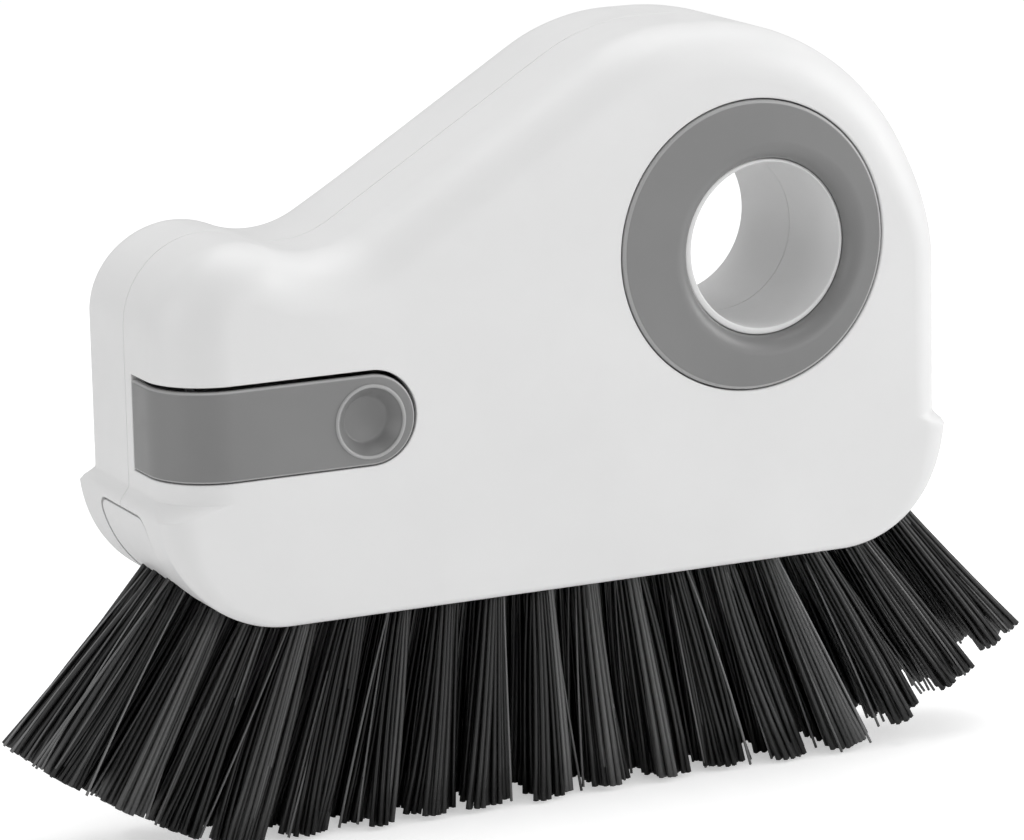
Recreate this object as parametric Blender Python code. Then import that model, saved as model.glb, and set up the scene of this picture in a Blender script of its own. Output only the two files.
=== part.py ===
"""Window cleaning brush: a two-shell handle with a finger hole and a latched, fanned brush head.

Metres, +Z up. X runs along the brush, -Y is the side with the release lever, and the parting
plane of the two shells is y = 0. The origin lies on the plane of the trimmed bristle tips, midway
along the brush.
"""
import math
import random

import bmesh
import bpy
from mathutils import Matrix, Vector

# Housing: outline seen along +Y, heights above its bottom edge, insets from its ends
BODY_LENGTH = 0.131
BODY_THICKNESS = 0.037
BRISTLE_LENGTH = 0.036
HUMP_RISE = 0.0350
HUMP_FLAT = 0.0035
HUMP_FRONT_RADIUS = 0.033
HUMP_BACK_RADIUS = 0.040
NOSE_HEIGHT = 0.0578
NOSE_RADIUS = 0.0135
NOSE_TURN = math.radians(24)
VALLEY_RADIUS = 0.016
HULL_RADIUS = 0.020
FLARE = 0.0016
FLARE_TOP_HEIGHT = 0.0203
FLARE_SLOPE_HEIGHT = 0.0025
WALL = 0.0022
CLEARANCE = 0.0003

# Edge rounding of the housing at the bottom, the foot, the ends, the front of the nose and the top
BOTTOM_ROUNDING = 0.001
FOOT_ROUNDING = 0.0034
SIDE_ROUNDING = 0.0055
NOSE_ROUNDING = 0.010
TOP_ROUNDING = 0.008
LEAST_ROUNDING = 0.0005
ROUNDING_MID_HEIGHT = 0.044
ROUNDING_HIGH_HEIGHT = 0.064

# Finger hole and its trim rings
HOLE_INSET = 0.0306
HOLE_HEIGHT = 0.0496
HOLE_RADIUS = 0.0130
COLLAR = 0.0010
LIP_RECESS = 0.0023
RING_OFFSET = 0.0034
RING_LIFT = 0.0007
RING_BAND = 0.0019
RING_THICKNESS = 0.0034
RING_ROUNDING = 0.0030
RING_EDGE = 0.0004
RING_SEAT_WALL = 0.0018

# Release lever, its pin, latch and spring
LEVER_LENGTH = 0.0391
LEVER_HEIGHT = 0.0138
LEVER_RISE = 0.0233
LEVER_THICKNESS = 0.0028
LEVER_TOP_GAP = 0.0006
LEVER_END_GAP = 0.0006
LEVER_MARGIN = 0.0025
STOP_LIP = 0.0016
STOP_THICKNESS = 0.0012
STOP_LENGTH = 0.0145
DISH_RADIUS = 0.00565
DISH_FLOOR = 0.0036
DISH_DEPTH = 0.0013
PIVOT_INSET = 0.006
PIVOT_DEPTH = 0.0075
BARREL_RADIUS = 0.0027
PIN_RADIUS = 0.0009
PIN_GRIP = 0.0028
KNUCKLE_HEIGHT = 0.0036
LATCH_INSET = 0.0225
LATCH_WIDTH = 0.0034
LATCH_SIDE_GAP = 0.0007
LATCH_LEG = 0.0018
LATCH_FOOT = 0.0009
LATCH_FOOT_HEIGHT = 0.0015
SPRING_WIRE = 0.0005
SPRING_TURNS = 5
SPRING_PITCH = 0.00095
SPRING_LEVER_ANGLE = math.radians(49)
SPRING_SHELL_ANGLE = math.radians(17.5)
SPRING_SHELL_GAP = 0.0007

# Brush head
HEAD_WIDTH = 0.0156
HEAD_HEIGHT = 0.0168
HEAD_CORNER = 0.0020
HEAD_INSET = 0.0002
HEAD_FLARE = 0.0016
HEAD_LIP_WIDTH = 0.0012
HEAD_LIP_HEIGHT = 0.0013
WEB = 0.0020
RIB_COUNT = 9
RIB_INSET = 0.0155
RIB_WIDTH = 0.0014
RIB_REACH = 0.0026
TONGUE_INSET = 0.0255
TONGUE_LENGTH = 0.0080
TONGUE_WIDTH = 0.0080
TONGUE_THICKNESS = 0.0022

# Bristles
BACKING = 0.0012
COLUMNS = 17
ROWS = 3
ROW_PITCH = 0.0048
SECTIONS = 12
TUFT_STRANDS = 9
TUFT_RADIUS = 0.0018
TUFT_SPREAD = 2.1
ROW_SPREAD = 1.6
STRAND_RADIUS = 0.00042
STRAND_TIP = 0.65
STRAND_TURN = math.radians(29)
STRAND_TRIM = 0.0006
STRAND_VARIATION = 0.0008
ROW_SPLAY = math.radians(4)
FAN_ANGLE = math.radians(39)
FAN_POWER = 1.12
END_ANGLE = math.radians(49.7)
END_MARGIN = 0.0008
TRIM_INSET = 0.0135
TRIM_SLOPE = 0.5
TRIM_POWER = 1.4
TRIM_SCALE = 0.033

# Assembly pegs between the shells, placed from the finger hole's axis
PEG_RADIUS = 0.0022
PEG_POST_RADIUS = 0.0042
PEG_REACH = 0.0035
PEG_OFFSETS = ((-0.0484, 0.0065), (-0.0304, -0.020), (0.0176, -0.022))

# Smoothness: angle of an arc's steps, and counts of steps or sides
ARC_STEP = math.radians(9)
ROUNDING_STEPS = 4
LEDGE_STEPS = 4
SLOPE_STEPS = 4
LIP_STEPS = 6
TIP_STEPS = 12
CORNER_STEPS = 4
UNDERSIDE_STEPS = 6
SLICE_STEPS = 4
COIL_STEPS = 12
ROUND_SIDES = 48
POST_SIDES = 20
PIN_SIDES = 16
STRAND_SIDES = 3
TRIM_PASSES = 8
SMOOTH_ANGLE = math.radians(30)
WELD = 0.00001

HALF = BODY_THICKNESS / 2
END_X = BODY_LENGTH / 2
BOTTOM = BRISTLE_LENGTH
HULL_Z = BOTTOM + HULL_RADIUS
HOLE_X = END_X - HOLE_INSET
HOLE_Z = BOTTOM + HOLE_HEIGHT
HUMP_TOP = HOLE_Z + HUMP_RISE
NOSE_X = -END_X + NOSE_RADIUS
NOSE_Z = BOTTOM + NOSE_HEIGHT - NOSE_RADIUS
FLARE_TOP = BOTTOM + FLARE_TOP_HEIGHT
FLARE_CREST = FLARE_TOP - FLARE_SLOPE_HEIGHT
COLLAR_RADIUS = HOLE_RADIUS + COLLAR
RING_INNER = COLLAR_RADIUS + CLEARANCE
RING_RADIUS = RING_INNER + RING_ROUNDING + RING_OFFSET + RING_BAND
RING_X = HOLE_X - RING_OFFSET
RING_Z = HOLE_Z + RING_LIFT
LEVER_BOTTOM = BOTTOM + LEVER_RISE
LEVER_TOP = LEVER_BOTTOM + LEVER_HEIGHT
LEVER_END_X = -END_X + LEVER_LENGTH
PIVOT_X = -END_X + PIVOT_INSET
PIVOT_Y = -HALF + PIVOT_DEPTH
HEAD_TOP = BOTTOM + HEAD_HEIGHT
HEAD_FLAT = END_X - HULL_RADIUS + HEAD_FLARE
HALF_RUN = HEAD_FLAT + HULL_RADIUS * END_ANGLE
CHANNEL_HALF = HEAD_WIDTH / 2 + CLEARANCE
WEB_LOW = HEAD_TOP + CLEARANCE
WEB_HIGH = WEB_LOW + WEB
TONGUE_X = END_X - TONGUE_INSET
LATCH_X = -END_X + LATCH_INSET
LATCH_Y = -HEAD_WIDTH / 2 + HEAD_LIP_WIDTH + CLEARANCE + LATCH_LEG / 2
SEAM = CLEARANCE / 2
PAST = 0.002


def smooth_step(value, low, high):
    """0 below low, 1 above high and a smooth rise between them."""
    t = min(max((value - low) / (high - low), 0.0), 1.0)
    return t * t * (3.0 - 2.0 * t)


def arc(centre, radius, start, end):
    """Points of an arc in the XZ plane with the outward normal of a convex arc at each."""
    count = max(2, round(abs(end - start) / ARC_STEP))
    angles = [start + (end - start) * k / count for k in range(count + 1)]
    return [(centre[0] + radius * math.cos(a), centre[1] + radius * math.sin(a),
             math.cos(a), math.sin(a)) for a in angles]


def slope_places():
    """Centres of the hump's front arc and of the valley's arc, and the slope angle between them."""
    front = (END_X - HUMP_BACK_RADIUS - HUMP_FLAT, HUMP_TOP - HUMP_FRONT_RADIUS)
    span = NOSE_RADIUS + VALLEY_RADIUS
    valley = (NOSE_X + span * math.sin(NOSE_TURN), NOSE_Z + span * math.cos(NOSE_TURN))
    across, up = valley[0] - front[0], valley[1] - front[1]
    lean = math.acos((HUMP_FRONT_RADIUS + VALLEY_RADIUS) / math.hypot(across, up))
    return front, valley, math.atan2(up, across) - lean - math.pi / 2


def housing_outline(inset=0.0):
    """The housing's outline without its flare, counter-clockwise from the bottom's left end.

    Each entry is x, z and the outward normal; inset moves the whole outline inwards.
    """
    down, up, left = -math.pi / 2, math.pi / 2, math.pi
    ledge = [FLARE_CREST + FLARE_SLOPE_HEIGHT * k / LEDGE_STEPS for k in range(LEDGE_STEPS + 1)]
    centre_x = END_X - HULL_RADIUS
    back = (END_X - HUMP_BACK_RADIUS, HUMP_TOP - HUMP_BACK_RADIUS)
    front, valley, slope = slope_places()
    corner = arc((centre_x, HULL_Z), HULL_RADIUS - inset, down, 0.0)
    points = [p for p in corner if p[1] < FLARE_CREST - CLEARANCE]
    points += [(END_X - inset, z, 1.0, 0.0) for z in (*ledge, (FLARE_TOP + back[1]) / 2)]
    points += arc(back, HUMP_BACK_RADIUS - inset, 0.0, up)
    points += arc(front, HUMP_FRONT_RADIUS - inset, up, up + slope)
    hollow = arc(valley, VALLEY_RADIUS + inset, down + slope, down - NOSE_TURN)
    first, last = points[-1], hollow[0]
    for k in range(1, SLOPE_STEPS):
        t = k / SLOPE_STEPS
        points.append((first[0] + (last[0] - first[0]) * t, first[1] + (last[1] - first[1]) * t,
                       first[2], first[3]))
    points += [(x, z, -nx, -nz) for x, z, nx, nz in hollow]
    points += arc((NOSE_X, NOSE_Z), NOSE_RADIUS - inset, up - NOSE_TURN, left)[1:]
    points += [(-END_X + inset, z, -1.0, 0.0) for z in ((FLARE_TOP + NOSE_Z) / 2, *reversed(ledge))]
    corner = arc((-centre_x, HULL_Z), HULL_RADIUS - inset, left, left + math.pi / 2)
    points += [p for p in corner if p[1] < FLARE_CREST - CLEARANCE]
    return points


def edge_rounding(x, z, side):
    """Radius of the rounding between the outline's point x, z and the flat face of one side."""
    end = NOSE_ROUNDING if side < 0.0 and x < 0.0 else SIDE_ROUNDING
    low = smooth_step(z, BOTTOM, FLARE_CREST)
    middle = smooth_step(z, FLARE_CREST, FLARE_TOP)
    high = smooth_step(z, BOTTOM + ROUNDING_MID_HEIGHT, BOTTOM + ROUNDING_HIGH_HEIGHT)
    return (BOTTOM_ROUNDING + (FOOT_ROUNDING - BOTTOM_ROUNDING) * low
            + (end - FOOT_ROUNDING) * middle + (TOP_ROUNDING - end) * high)


def flare_at(z):
    """How far the ends of the housing stand out at height z."""
    t = (FLARE_TOP - z) / (FLARE_TOP - FLARE_CREST)
    return FLARE * min(max(t, 0.0), 1.0)


def half_section(outline, side, inset, turn, flared):
    """One section of a half shell: the outline as it stands at an angle into its rounding."""
    ring = []
    for x, z, nx, nz in outline:
        rounding = max(edge_rounding(x, z, side) - inset, LEAST_ROUNDING)
        shift = rounding * (1.0 - math.cos(turn))
        depth = HALF - inset - rounding + rounding * math.sin(turn)
        flare = math.copysign(flare_at(z), x) * math.cos(turn) if flared else 0.0
        ring.append(Vector((x - nx * shift + flare, side * depth, z - nz * shift)))
    return ring


def loft(name, rings):
    """A closed solid through rings of points, with a flat cap at each end."""
    bm = bmesh.new()
    levels = [[bm.verts.new(p) for p in ring] for ring in rings]
    count = len(levels[0])
    for low, high in zip(levels, levels[1:]):
        for k in range(count):
            j = (k + 1) % count
            bm.faces.new((low[k], low[j], high[j], high[k]))
    bm.faces.new(list(reversed(levels[0])))
    bm.faces.new(levels[-1])
    return new_object(name, bm)


def half_solid(name, side, start, inset=0.0, flared=True):
    """Half of the housing as a solid, from the plane |y| = start out to the flat face."""
    outline = housing_outline(inset)
    first = half_section(outline, side, inset, 0.0, flared)
    for point in first:
        point.y = side * start
    turns = [math.pi / 2 * k / ROUNDING_STEPS for k in range(ROUNDING_STEPS + 1)]
    return loft(name, [first] + [half_section(outline, side, inset, t, flared) for t in turns])


def new_object(name, bm):
    """An object from a bmesh whose faces all point out."""
    bmesh.ops.recalc_face_normals(bm, faces=bm.faces)
    mesh = bpy.data.meshes.new(name)
    bm.to_mesh(mesh)
    bm.free()
    return bpy.data.objects.new(name, mesh)


def box(name, x, y, z):
    """A box between the pairs x, y and z."""
    bm = bmesh.new()
    centre = Vector(((x[0] + x[1]) / 2, (y[0] + y[1]) / 2, (z[0] + z[1]) / 2))
    size = Matrix.Diagonal((abs(x[1] - x[0]), abs(y[1] - y[0]), abs(z[1] - z[0]), 1.0))
    bmesh.ops.create_cube(bm, size=1.0, matrix=Matrix.Translation(centre) @ size)
    return new_object(name, bm)


def cylinder(name, start, end, radius, end_radius=None, sides=ROUND_SIDES):
    """A cylinder or cone frustum between two points."""
    start, end = Vector(start), Vector(end)
    axis = end - start
    turn = axis.to_track_quat('Z', 'Y').to_matrix().to_4x4()
    bm = bmesh.new()
    bmesh.ops.create_cone(bm, cap_ends=True, segments=sides, radius1=radius,
                          radius2=radius if end_radius is None else end_radius,
                          depth=axis.length, matrix=Matrix.Translation((start + end) / 2) @ turn)
    return new_object(name, bm)


def prism(name, points, span, along='Y'):
    """A flat outline extruded between the pair span along one axis.

    The outline's pairs are y, z for an extrusion along X, x, z along Y and x, y along Z.
    """
    place = {'X': lambda p, d: Vector((d, p[0], p[1])),
             'Y': lambda p, d: Vector((p[0], d, p[1])),
             'Z': lambda p, d: Vector((p[0], p[1], d))}[along]
    return loft(name, [[place(p, depth) for p in points] for depth in span])


def combine(target, tool, operation):
    """Adds a Boolean modifier to target, and files the tool with the cutters."""
    modifier = target.modifiers.new(tool.name, 'BOOLEAN')
    modifier.operation = operation
    modifier.object = tool
    modifier.solver = 'EXACT'
    tool.hide_render = True
    tool.display_type = 'WIRE'
    if not tool.users_collection:
        CUTTERS.objects.link(tool)


def cut(target, tool):
    combine(target, tool, 'DIFFERENCE')


def join(target, tool):
    combine(target, tool, 'UNION')


def material(name, colour, roughness, metallic=0.0):
    """A Principled material."""
    result = bpy.data.materials.new(name)
    result.use_nodes = True
    shader = result.node_tree.nodes["Principled BSDF"]
    shader.inputs["Base Color"].default_value = (*colour, 1.0)
    shader.inputs["Roughness"].default_value = roughness
    shader.inputs["Metallic"].default_value = metallic
    return result


def finish(part, finish_material):
    """Files a finished sub-part with its material and shading."""
    PARTS.objects.link(part)
    part.data.materials.append(finish_material)
    part.data.shade_smooth()
    part.data.set_sharp_from_angle(angle=SMOOTH_ANGLE)
    return part


def half_turn(centre, radius, steps):
    """Points of a half circle in a plane, from below its centre round its right side to above it."""
    angles = [-math.pi / 2 + math.pi * k / steps for k in range(steps + 1)]
    return [(centre[0] + radius * math.cos(a), centre[1] + radius * math.sin(a)) for a in angles]


def lever_outline(gap_low, gap_high, gap_end, start):
    """Outline of the lever in XZ with a gap round it, from x = start to its round end."""
    low, high = LEVER_BOTTOM - gap_low, LEVER_TOP + gap_high
    radius = (high - low) / 2
    centre = (LEVER_END_X + gap_end - radius, (high + low) / 2)
    return [(start, low)] + half_turn(centre, radius, TIP_STEPS) + [(start, high)]


def add_bore(shell, side):
    """The finger hole's wall, the thick seat round it and the ring's recess."""
    face = side * HALF
    floor = face - side * (RING_THICKNESS + CLEARANCE)
    seat = floor - side * RING_SEAT_WALL
    name = shell.name
    skin = face - side * WALL / 2
    join(shell, cylinder(name + "_seat", (RING_X, seat, RING_Z), (RING_X, skin, RING_Z),
                         RING_RADIUS + CLEARANCE + WALL))
    join(shell, cylinder(name + "_tube", (HOLE_X, side * SEAM, HOLE_Z), (HOLE_X, skin, HOLE_Z),
                         HOLE_RADIUS + WALL))
    recess = cylinder(name + "_recess", (RING_X, floor, RING_Z), (RING_X, face + side * PAST, RING_Z),
                      RING_RADIUS + CLEARANCE)
    collar = cylinder(name + "_collar", (HOLE_X, floor - side * PAST, HOLE_Z),
                      (HOLE_X, face - side * LIP_RECESS, HOLE_Z), COLLAR_RADIUS)
    cut(recess, collar)
    cut(shell, recess)
    cut(shell, cylinder(name + "_bore", (HOLE_X, -side * PAST, HOLE_Z),
                        (HOLE_X, face + side * PAST, HOLE_Z), HOLE_RADIUS))


def add_head_seat(shell, side):
    """The web over the brush head, the ribs beside it and the slot it drops out of."""
    name = shell.name
    inner = side * (HALF - WALL / 2)
    far = END_X + FLARE + PAST
    web = half_solid(name + "_web", side, SEAM, WALL / 2, flared=False)
    slab = box(name + "_slab", (-far, far), (-side * PAST, side * (HALF + PAST)),
               (WEB_LOW - WEB / 2, WEB_HIGH))
    combine(web, slab, 'INTERSECT')
    join(shell, web)
    low = BOTTOM + WALL / 2
    reach = END_X - RIB_INSET
    for k in range(RIB_COUNT):
        x = -reach + 2 * reach * k / (RIB_COUNT - 1)
        join(shell, box(f"{name}_rib_{k}", (x - RIB_WIDTH / 2, x + RIB_WIDTH / 2),
                        (side * (CHANNEL_HALF - RIB_REACH), inner), (low, WEB_LOW)))
    profile = head_profile(CHANNEL_HALF, WEB_LOW, HEAD_CORNER + CLEARANCE)
    cut(shell, prism(name + "_channel", profile, (-far, far), along='X'))


def head_profile(half, top, radius):
    """A YZ profile from below the housing up to a flat top with rounded corners."""
    turns = [math.pi / 2 * k / CORNER_STEPS for k in range(CORNER_STEPS + 1)]
    corner = [(half - radius + radius * math.cos(a), top - radius + radius * math.sin(a)) for a in turns]
    right = [(half, BOTTOM - PAST)] + corner
    return right + [(-y, z) for y, z in reversed(right)]


def peg_places():
    """Places of the pegs' axes in XZ."""
    return [(HOLE_X + x, HOLE_Z + z) for x, z in PEG_OFFSETS]


def shell_body(name, side):
    """One hollow half of the housing."""
    shell = half_solid(name, side, SEAM)
    cavity = half_solid(name + "_cavity", side, -PAST, WALL, flared=False)
    cut(shell, cavity)
    add_bore(shell, side)
    add_head_seat(shell, side)
    return shell


def front_shell(finish_material):
    """The half with the lever's opening, the pin's lugs and the sockets of the pegs."""
    shell = shell_body("front_shell", -1.0)
    outline = lever_outline(CLEARANCE, LEVER_TOP_GAP, LEVER_END_GAP, -END_X - PAST)
    for k, height in enumerate((LEVER_BOTTOM - CLEARANCE, LEVER_TOP + LEVER_TOP_GAP)):
        away = -1.0 if k == 0 else 1.0
        lug = half_solid(f"front_shell_lug_{k}", -1.0, SEAM, WALL / 2, flared=False)
        block = box(f"front_shell_lug_block_{k}", (-END_X, PIVOT_X + BARREL_RADIUS),
                    (-HALF, PIVOT_Y + BARREL_RADIUS), (height, height + away * PIN_GRIP))
        combine(lug, block, 'INTERSECT')
        join(shell, lug)
    opening = (-HALF - PAST, -HALF + WALL + PAST)
    cut(shell, prism("front_shell_opening", outline, opening))
    wrap = (-HALF, -LEVER_MARGIN)
    low, high = LEVER_BOTTOM - CLEARANCE, LEVER_TOP + LEVER_TOP_GAP
    cut(shell, box("front_shell_wrap", (-END_X - PAST, -END_X + NOSE_ROUNDING + WALL), wrap, (low, high)))
    cut(shell, cylinder("front_shell_pin_hole", (PIVOT_X, PIVOT_Y, low - PIN_GRIP - PAST),
                        (PIVOT_X, PIVOT_Y, high + PIN_GRIP + PAST), PIN_RADIUS + CLEARANCE, sides=PIN_SIDES))
    for k, (x, z) in enumerate(peg_places()):
        join(shell, cylinder(f"front_shell_post_{k}", (x, -SEAM, z), (x, -HALF + WALL / 2, z),
                             PEG_POST_RADIUS, sides=POST_SIDES))
        cut(shell, cylinder(f"front_shell_socket_{k}", (x, PAST, z),
                            (x, -SEAM - PEG_REACH - CLEARANCE, z), PEG_RADIUS + CLEARANCE, sides=PIN_SIDES))
    slot = LATCH_WIDTH / 2 + LATCH_SIDE_GAP
    cut(shell, box("front_shell_latch_slot", (LATCH_X - slot, LATCH_X + slot),
                   (LATCH_Y - LATCH_LEG / 2 - LATCH_FOOT - CLEARANCE, PAST),
                   (WEB_LOW - PAST, WEB_HIGH + PAST)))
    cut(shell, tongue_slot("front_shell_tongue_slot"))
    return finish(shell, finish_material)


def rear_shell(finish_material):
    """The plain half, with the pegs that hold the two halves together."""
    shell = shell_body("rear_shell", 1.0)
    for k, (x, z) in enumerate(peg_places()):
        join(shell, cylinder(f"rear_shell_post_{k}", (x, SEAM, z), (x, HALF - WALL / 2, z),
                             PEG_POST_RADIUS, sides=POST_SIDES))
        join(shell, cylinder(f"rear_shell_peg_{k}", (x, SEAM + PAST, z), (x, -SEAM - PEG_REACH, z),
                             PEG_RADIUS, sides=PIN_SIDES))
    cut(shell, tongue_slot("rear_shell_tongue_slot"))
    return finish(shell, finish_material)


def tongue_slot(name):
    """The hole in the web that the head's tongue goes up through."""
    half = TONGUE_WIDTH / 2 + CLEARANCE
    return box(name, (TONGUE_X - CLEARANCE, TONGUE_X + TONGUE_THICKNESS + CLEARANCE), (-half, half),
               (WEB_LOW - PAST, WEB_HIGH + PAST))


def trim_ring(name, side, finish_material):
    """The grey ring round the finger hole, set off-centre, rounded down into the hole."""
    face = side * HALF
    back = face - side * RING_THICKNESS
    lip = face - side * RING_ROUNDING
    profile = [(RING_X, RING_Z, back, RING_RADIUS),
               (RING_X, RING_Z, face - side * RING_EDGE, RING_RADIUS),
               (RING_X, RING_Z, face, RING_RADIUS - RING_EDGE)]
    for k in range(LIP_STEPS + 1):
        turn = math.pi / 2 * (1.0 - k / LIP_STEPS)
        profile.append((HOLE_X, HOLE_Z, lip + side * RING_ROUNDING * math.sin(turn),
                        RING_INNER + RING_ROUNDING * (1.0 - math.cos(turn))))
    profile.append((HOLE_X, HOLE_Z, back, RING_INNER))
    bm = bmesh.new()
    angles = [2.0 * math.pi * k / ROUND_SIDES for k in range(ROUND_SIDES)]
    circles = [[bm.verts.new((x + radius * math.cos(a), y, z + radius * math.sin(a)))
                for a in angles] for x, z, y, radius in profile]
    for low, high in zip(circles, circles[1:] + circles[:1]):
        for k in range(ROUND_SIDES):
            j = (k + 1) % ROUND_SIDES
            bm.faces.new((low[k], low[j], high[j], high[k]))
    return finish(new_object(name, bm), finish_material)


def release_lever(finish_material):
    """The grey lever, flush in the shell and wrapped round the nose, with its latch."""
    lever = half_solid("release_lever", -1.0, LEVER_MARGIN + CLEARANCE)
    cut(lever, half_solid("release_lever_inside", -1.0, -PAST, LEVER_THICKNESS, flared=False))
    blank = prism("release_lever_blank", lever_outline(0.0, 0.0, 0.0, -END_X - PAST), (-HALF - PAST, PAST))
    combine(lever, blank, 'INTERSECT')
    inner = -HALF + LEVER_THICKNESS
    stop = -HALF + WALL + CLEARANCE
    lip = lever_outline(STOP_LIP, STOP_LIP, STOP_LIP, LEVER_END_X - STOP_LENGTH)
    join(lever, prism("release_lever_stop", lip, (stop, stop + STOP_THICKNESS)))
    middle = (LEVER_BOTTOM + LEVER_TOP) / 2
    dish_x = LEVER_END_X - (LEVER_TOP - LEVER_BOTTOM) / 2
    cut(lever, cylinder("release_lever_dish", (dish_x, -HALF + DISH_DEPTH, middle),
                        (dish_x, -HALF - DISH_DEPTH, middle), DISH_FLOOR, 2 * DISH_RADIUS - DISH_FLOOR))
    low, high = LEVER_BOTTOM + CLEARANCE, LEVER_TOP - CLEARANCE
    barrel_turn = half_turn((PIVOT_X, PIVOT_Y), BARREL_RADIUS, TIP_STEPS)
    outline = [(-END_X, -HALF), (PIVOT_X, -HALF)] + barrel_turn + [(-END_X, PIVOT_Y + BARREL_RADIUS)]
    for k, span in enumerate(((low, low + KNUCKLE_HEIGHT), (high - KNUCKLE_HEIGHT, high))):
        knuckle = half_solid(f"release_lever_knuckle_{k}", -1.0, SEAM, LEVER_THICKNESS / 2, flared=False)
        barrel = prism(f"release_lever_barrel_{k}", outline, span, along='Z')
        combine(knuckle, barrel, 'INTERSECT')
        join(lever, knuckle)
    cut(lever, cylinder("release_lever_bore", (PIVOT_X, PIVOT_Y, low - PAST),
                        (PIVOT_X, PIVOT_Y, high + PAST), PIN_RADIUS + CLEARANCE, sides=PIN_SIDES))
    half = LATCH_WIDTH / 2
    leg = (LATCH_Y - LATCH_LEG / 2, LATCH_Y + LATCH_LEG / 2)
    foot_top = HEAD_TOP - HEAD_LIP_HEIGHT - CLEARANCE
    foot_low = foot_top - LATCH_FOOT_HEIGHT
    shelf = (low + LATCH_LEG, low + 2 * LATCH_LEG)
    root_y = inner - LEVER_THICKNESS / 2
    hook = [(root_y, shelf[0]), (leg[0], shelf[0]), (leg[0], foot_top), (leg[0] - LATCH_FOOT, foot_top),
            (leg[0] - LATCH_FOOT, foot_low), (leg[1], foot_low), (leg[1], shelf[1]), (root_y, shelf[1])]
    join(lever, prism("release_lever_hook", hook, (LATCH_X - half, LATCH_X + half), along='X'))
    return finish(lever, finish_material)


def lever_pin(finish_material):
    """The steel pin that the lever turns on."""
    low = LEVER_BOTTOM - CLEARANCE - PIN_GRIP
    high = LEVER_TOP + LEVER_TOP_GAP + PIN_GRIP
    pin = cylinder("lever_pin", (PIVOT_X, PIVOT_Y, low), (PIVOT_X, PIVOT_Y, high), PIN_RADIUS,
                   sides=PIN_SIDES)
    return finish(pin, finish_material)


def spring_path():
    """The torsion spring's wire: a leg on the lever, the coil round the pin, a leg on the shell."""
    radius = PIN_RADIUS + CLEARANCE + SPRING_WIRE
    bottom = (LEVER_BOTTOM + LEVER_TOP - SPRING_PITCH * SPRING_TURNS) / 2
    total = SPRING_TURNS * 2 * math.pi + SPRING_SHELL_ANGLE - SPRING_LEVER_ANGLE
    steps = SPRING_TURNS * COIL_STEPS
    coil = []
    for k in range(steps + 1):
        angle = SPRING_LEVER_ANGLE + total * k / steps
        coil.append(Vector((PIVOT_X + radius * math.cos(angle), PIVOT_Y + radius * math.sin(angle),
                            bottom + SPRING_PITCH * SPRING_TURNS * k / steps)))
    first = Vector((math.sin(SPRING_LEVER_ANGLE), -math.cos(SPRING_LEVER_ANGLE), 0.0))
    last = Vector((-math.sin(SPRING_SHELL_ANGLE), math.cos(SPRING_SHELL_ANGLE), 0.0))
    lever_face = -HALF + LEVER_THICKNESS + CLEARANCE + SPRING_WIRE / 2
    shell_face = -END_X + WALL + SPRING_SHELL_GAP + SPRING_WIRE / 2
    start = coil[0] + first * ((lever_face - coil[0].y) / first.y)
    end = coil[-1] + last * ((shell_face - coil[-1].x) / last.x)
    return [start] + coil + [end]


def lever_spring(finish_material):
    """The torsion spring that returns the lever."""
    curve = bpy.data.curves.new("lever_spring_wire", 'CURVE')
    curve.dimensions = '3D'
    curve.bevel_depth = SPRING_WIRE / 2
    curve.bevel_resolution = 1
    curve.use_fill_caps = True
    path = spring_path()
    spline = curve.splines.new('POLY')
    spline.points.add(len(path) - 1)
    for point, place in zip(spline.points, path):
        point.co = (*place, 1.0)
    wire = bpy.data.objects.new("lever_spring_wire", curve)
    CUTTERS.objects.link(wire)
    bpy.context.view_layer.update()
    graph = bpy.context.evaluated_depsgraph_get()
    mesh = bpy.data.meshes.new_from_object(wire.evaluated_get(graph))
    bm = bmesh.new()
    bm.from_mesh(mesh)
    bmesh.ops.remove_doubles(bm, verts=bm.verts, dist=WELD)
    bpy.data.objects.remove(wire)
    bpy.data.meshes.remove(mesh)
    return finish(new_object("lever_spring", bm), finish_material)


def head_curve(inset):
    """Points along the head's underside from its left end to its right."""
    radius = HULL_RADIUS - inset
    curve = []
    for k in range(UNDERSIDE_STEPS + 1):
        angle = -math.pi / 2 - END_ANGLE + END_ANGLE * k / UNDERSIDE_STEPS
        curve.append((-HEAD_FLAT + radius * math.cos(angle), HULL_Z + radius * math.sin(angle)))
    curve += [(-x, z) for x, z in reversed(curve)]
    return curve


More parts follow.
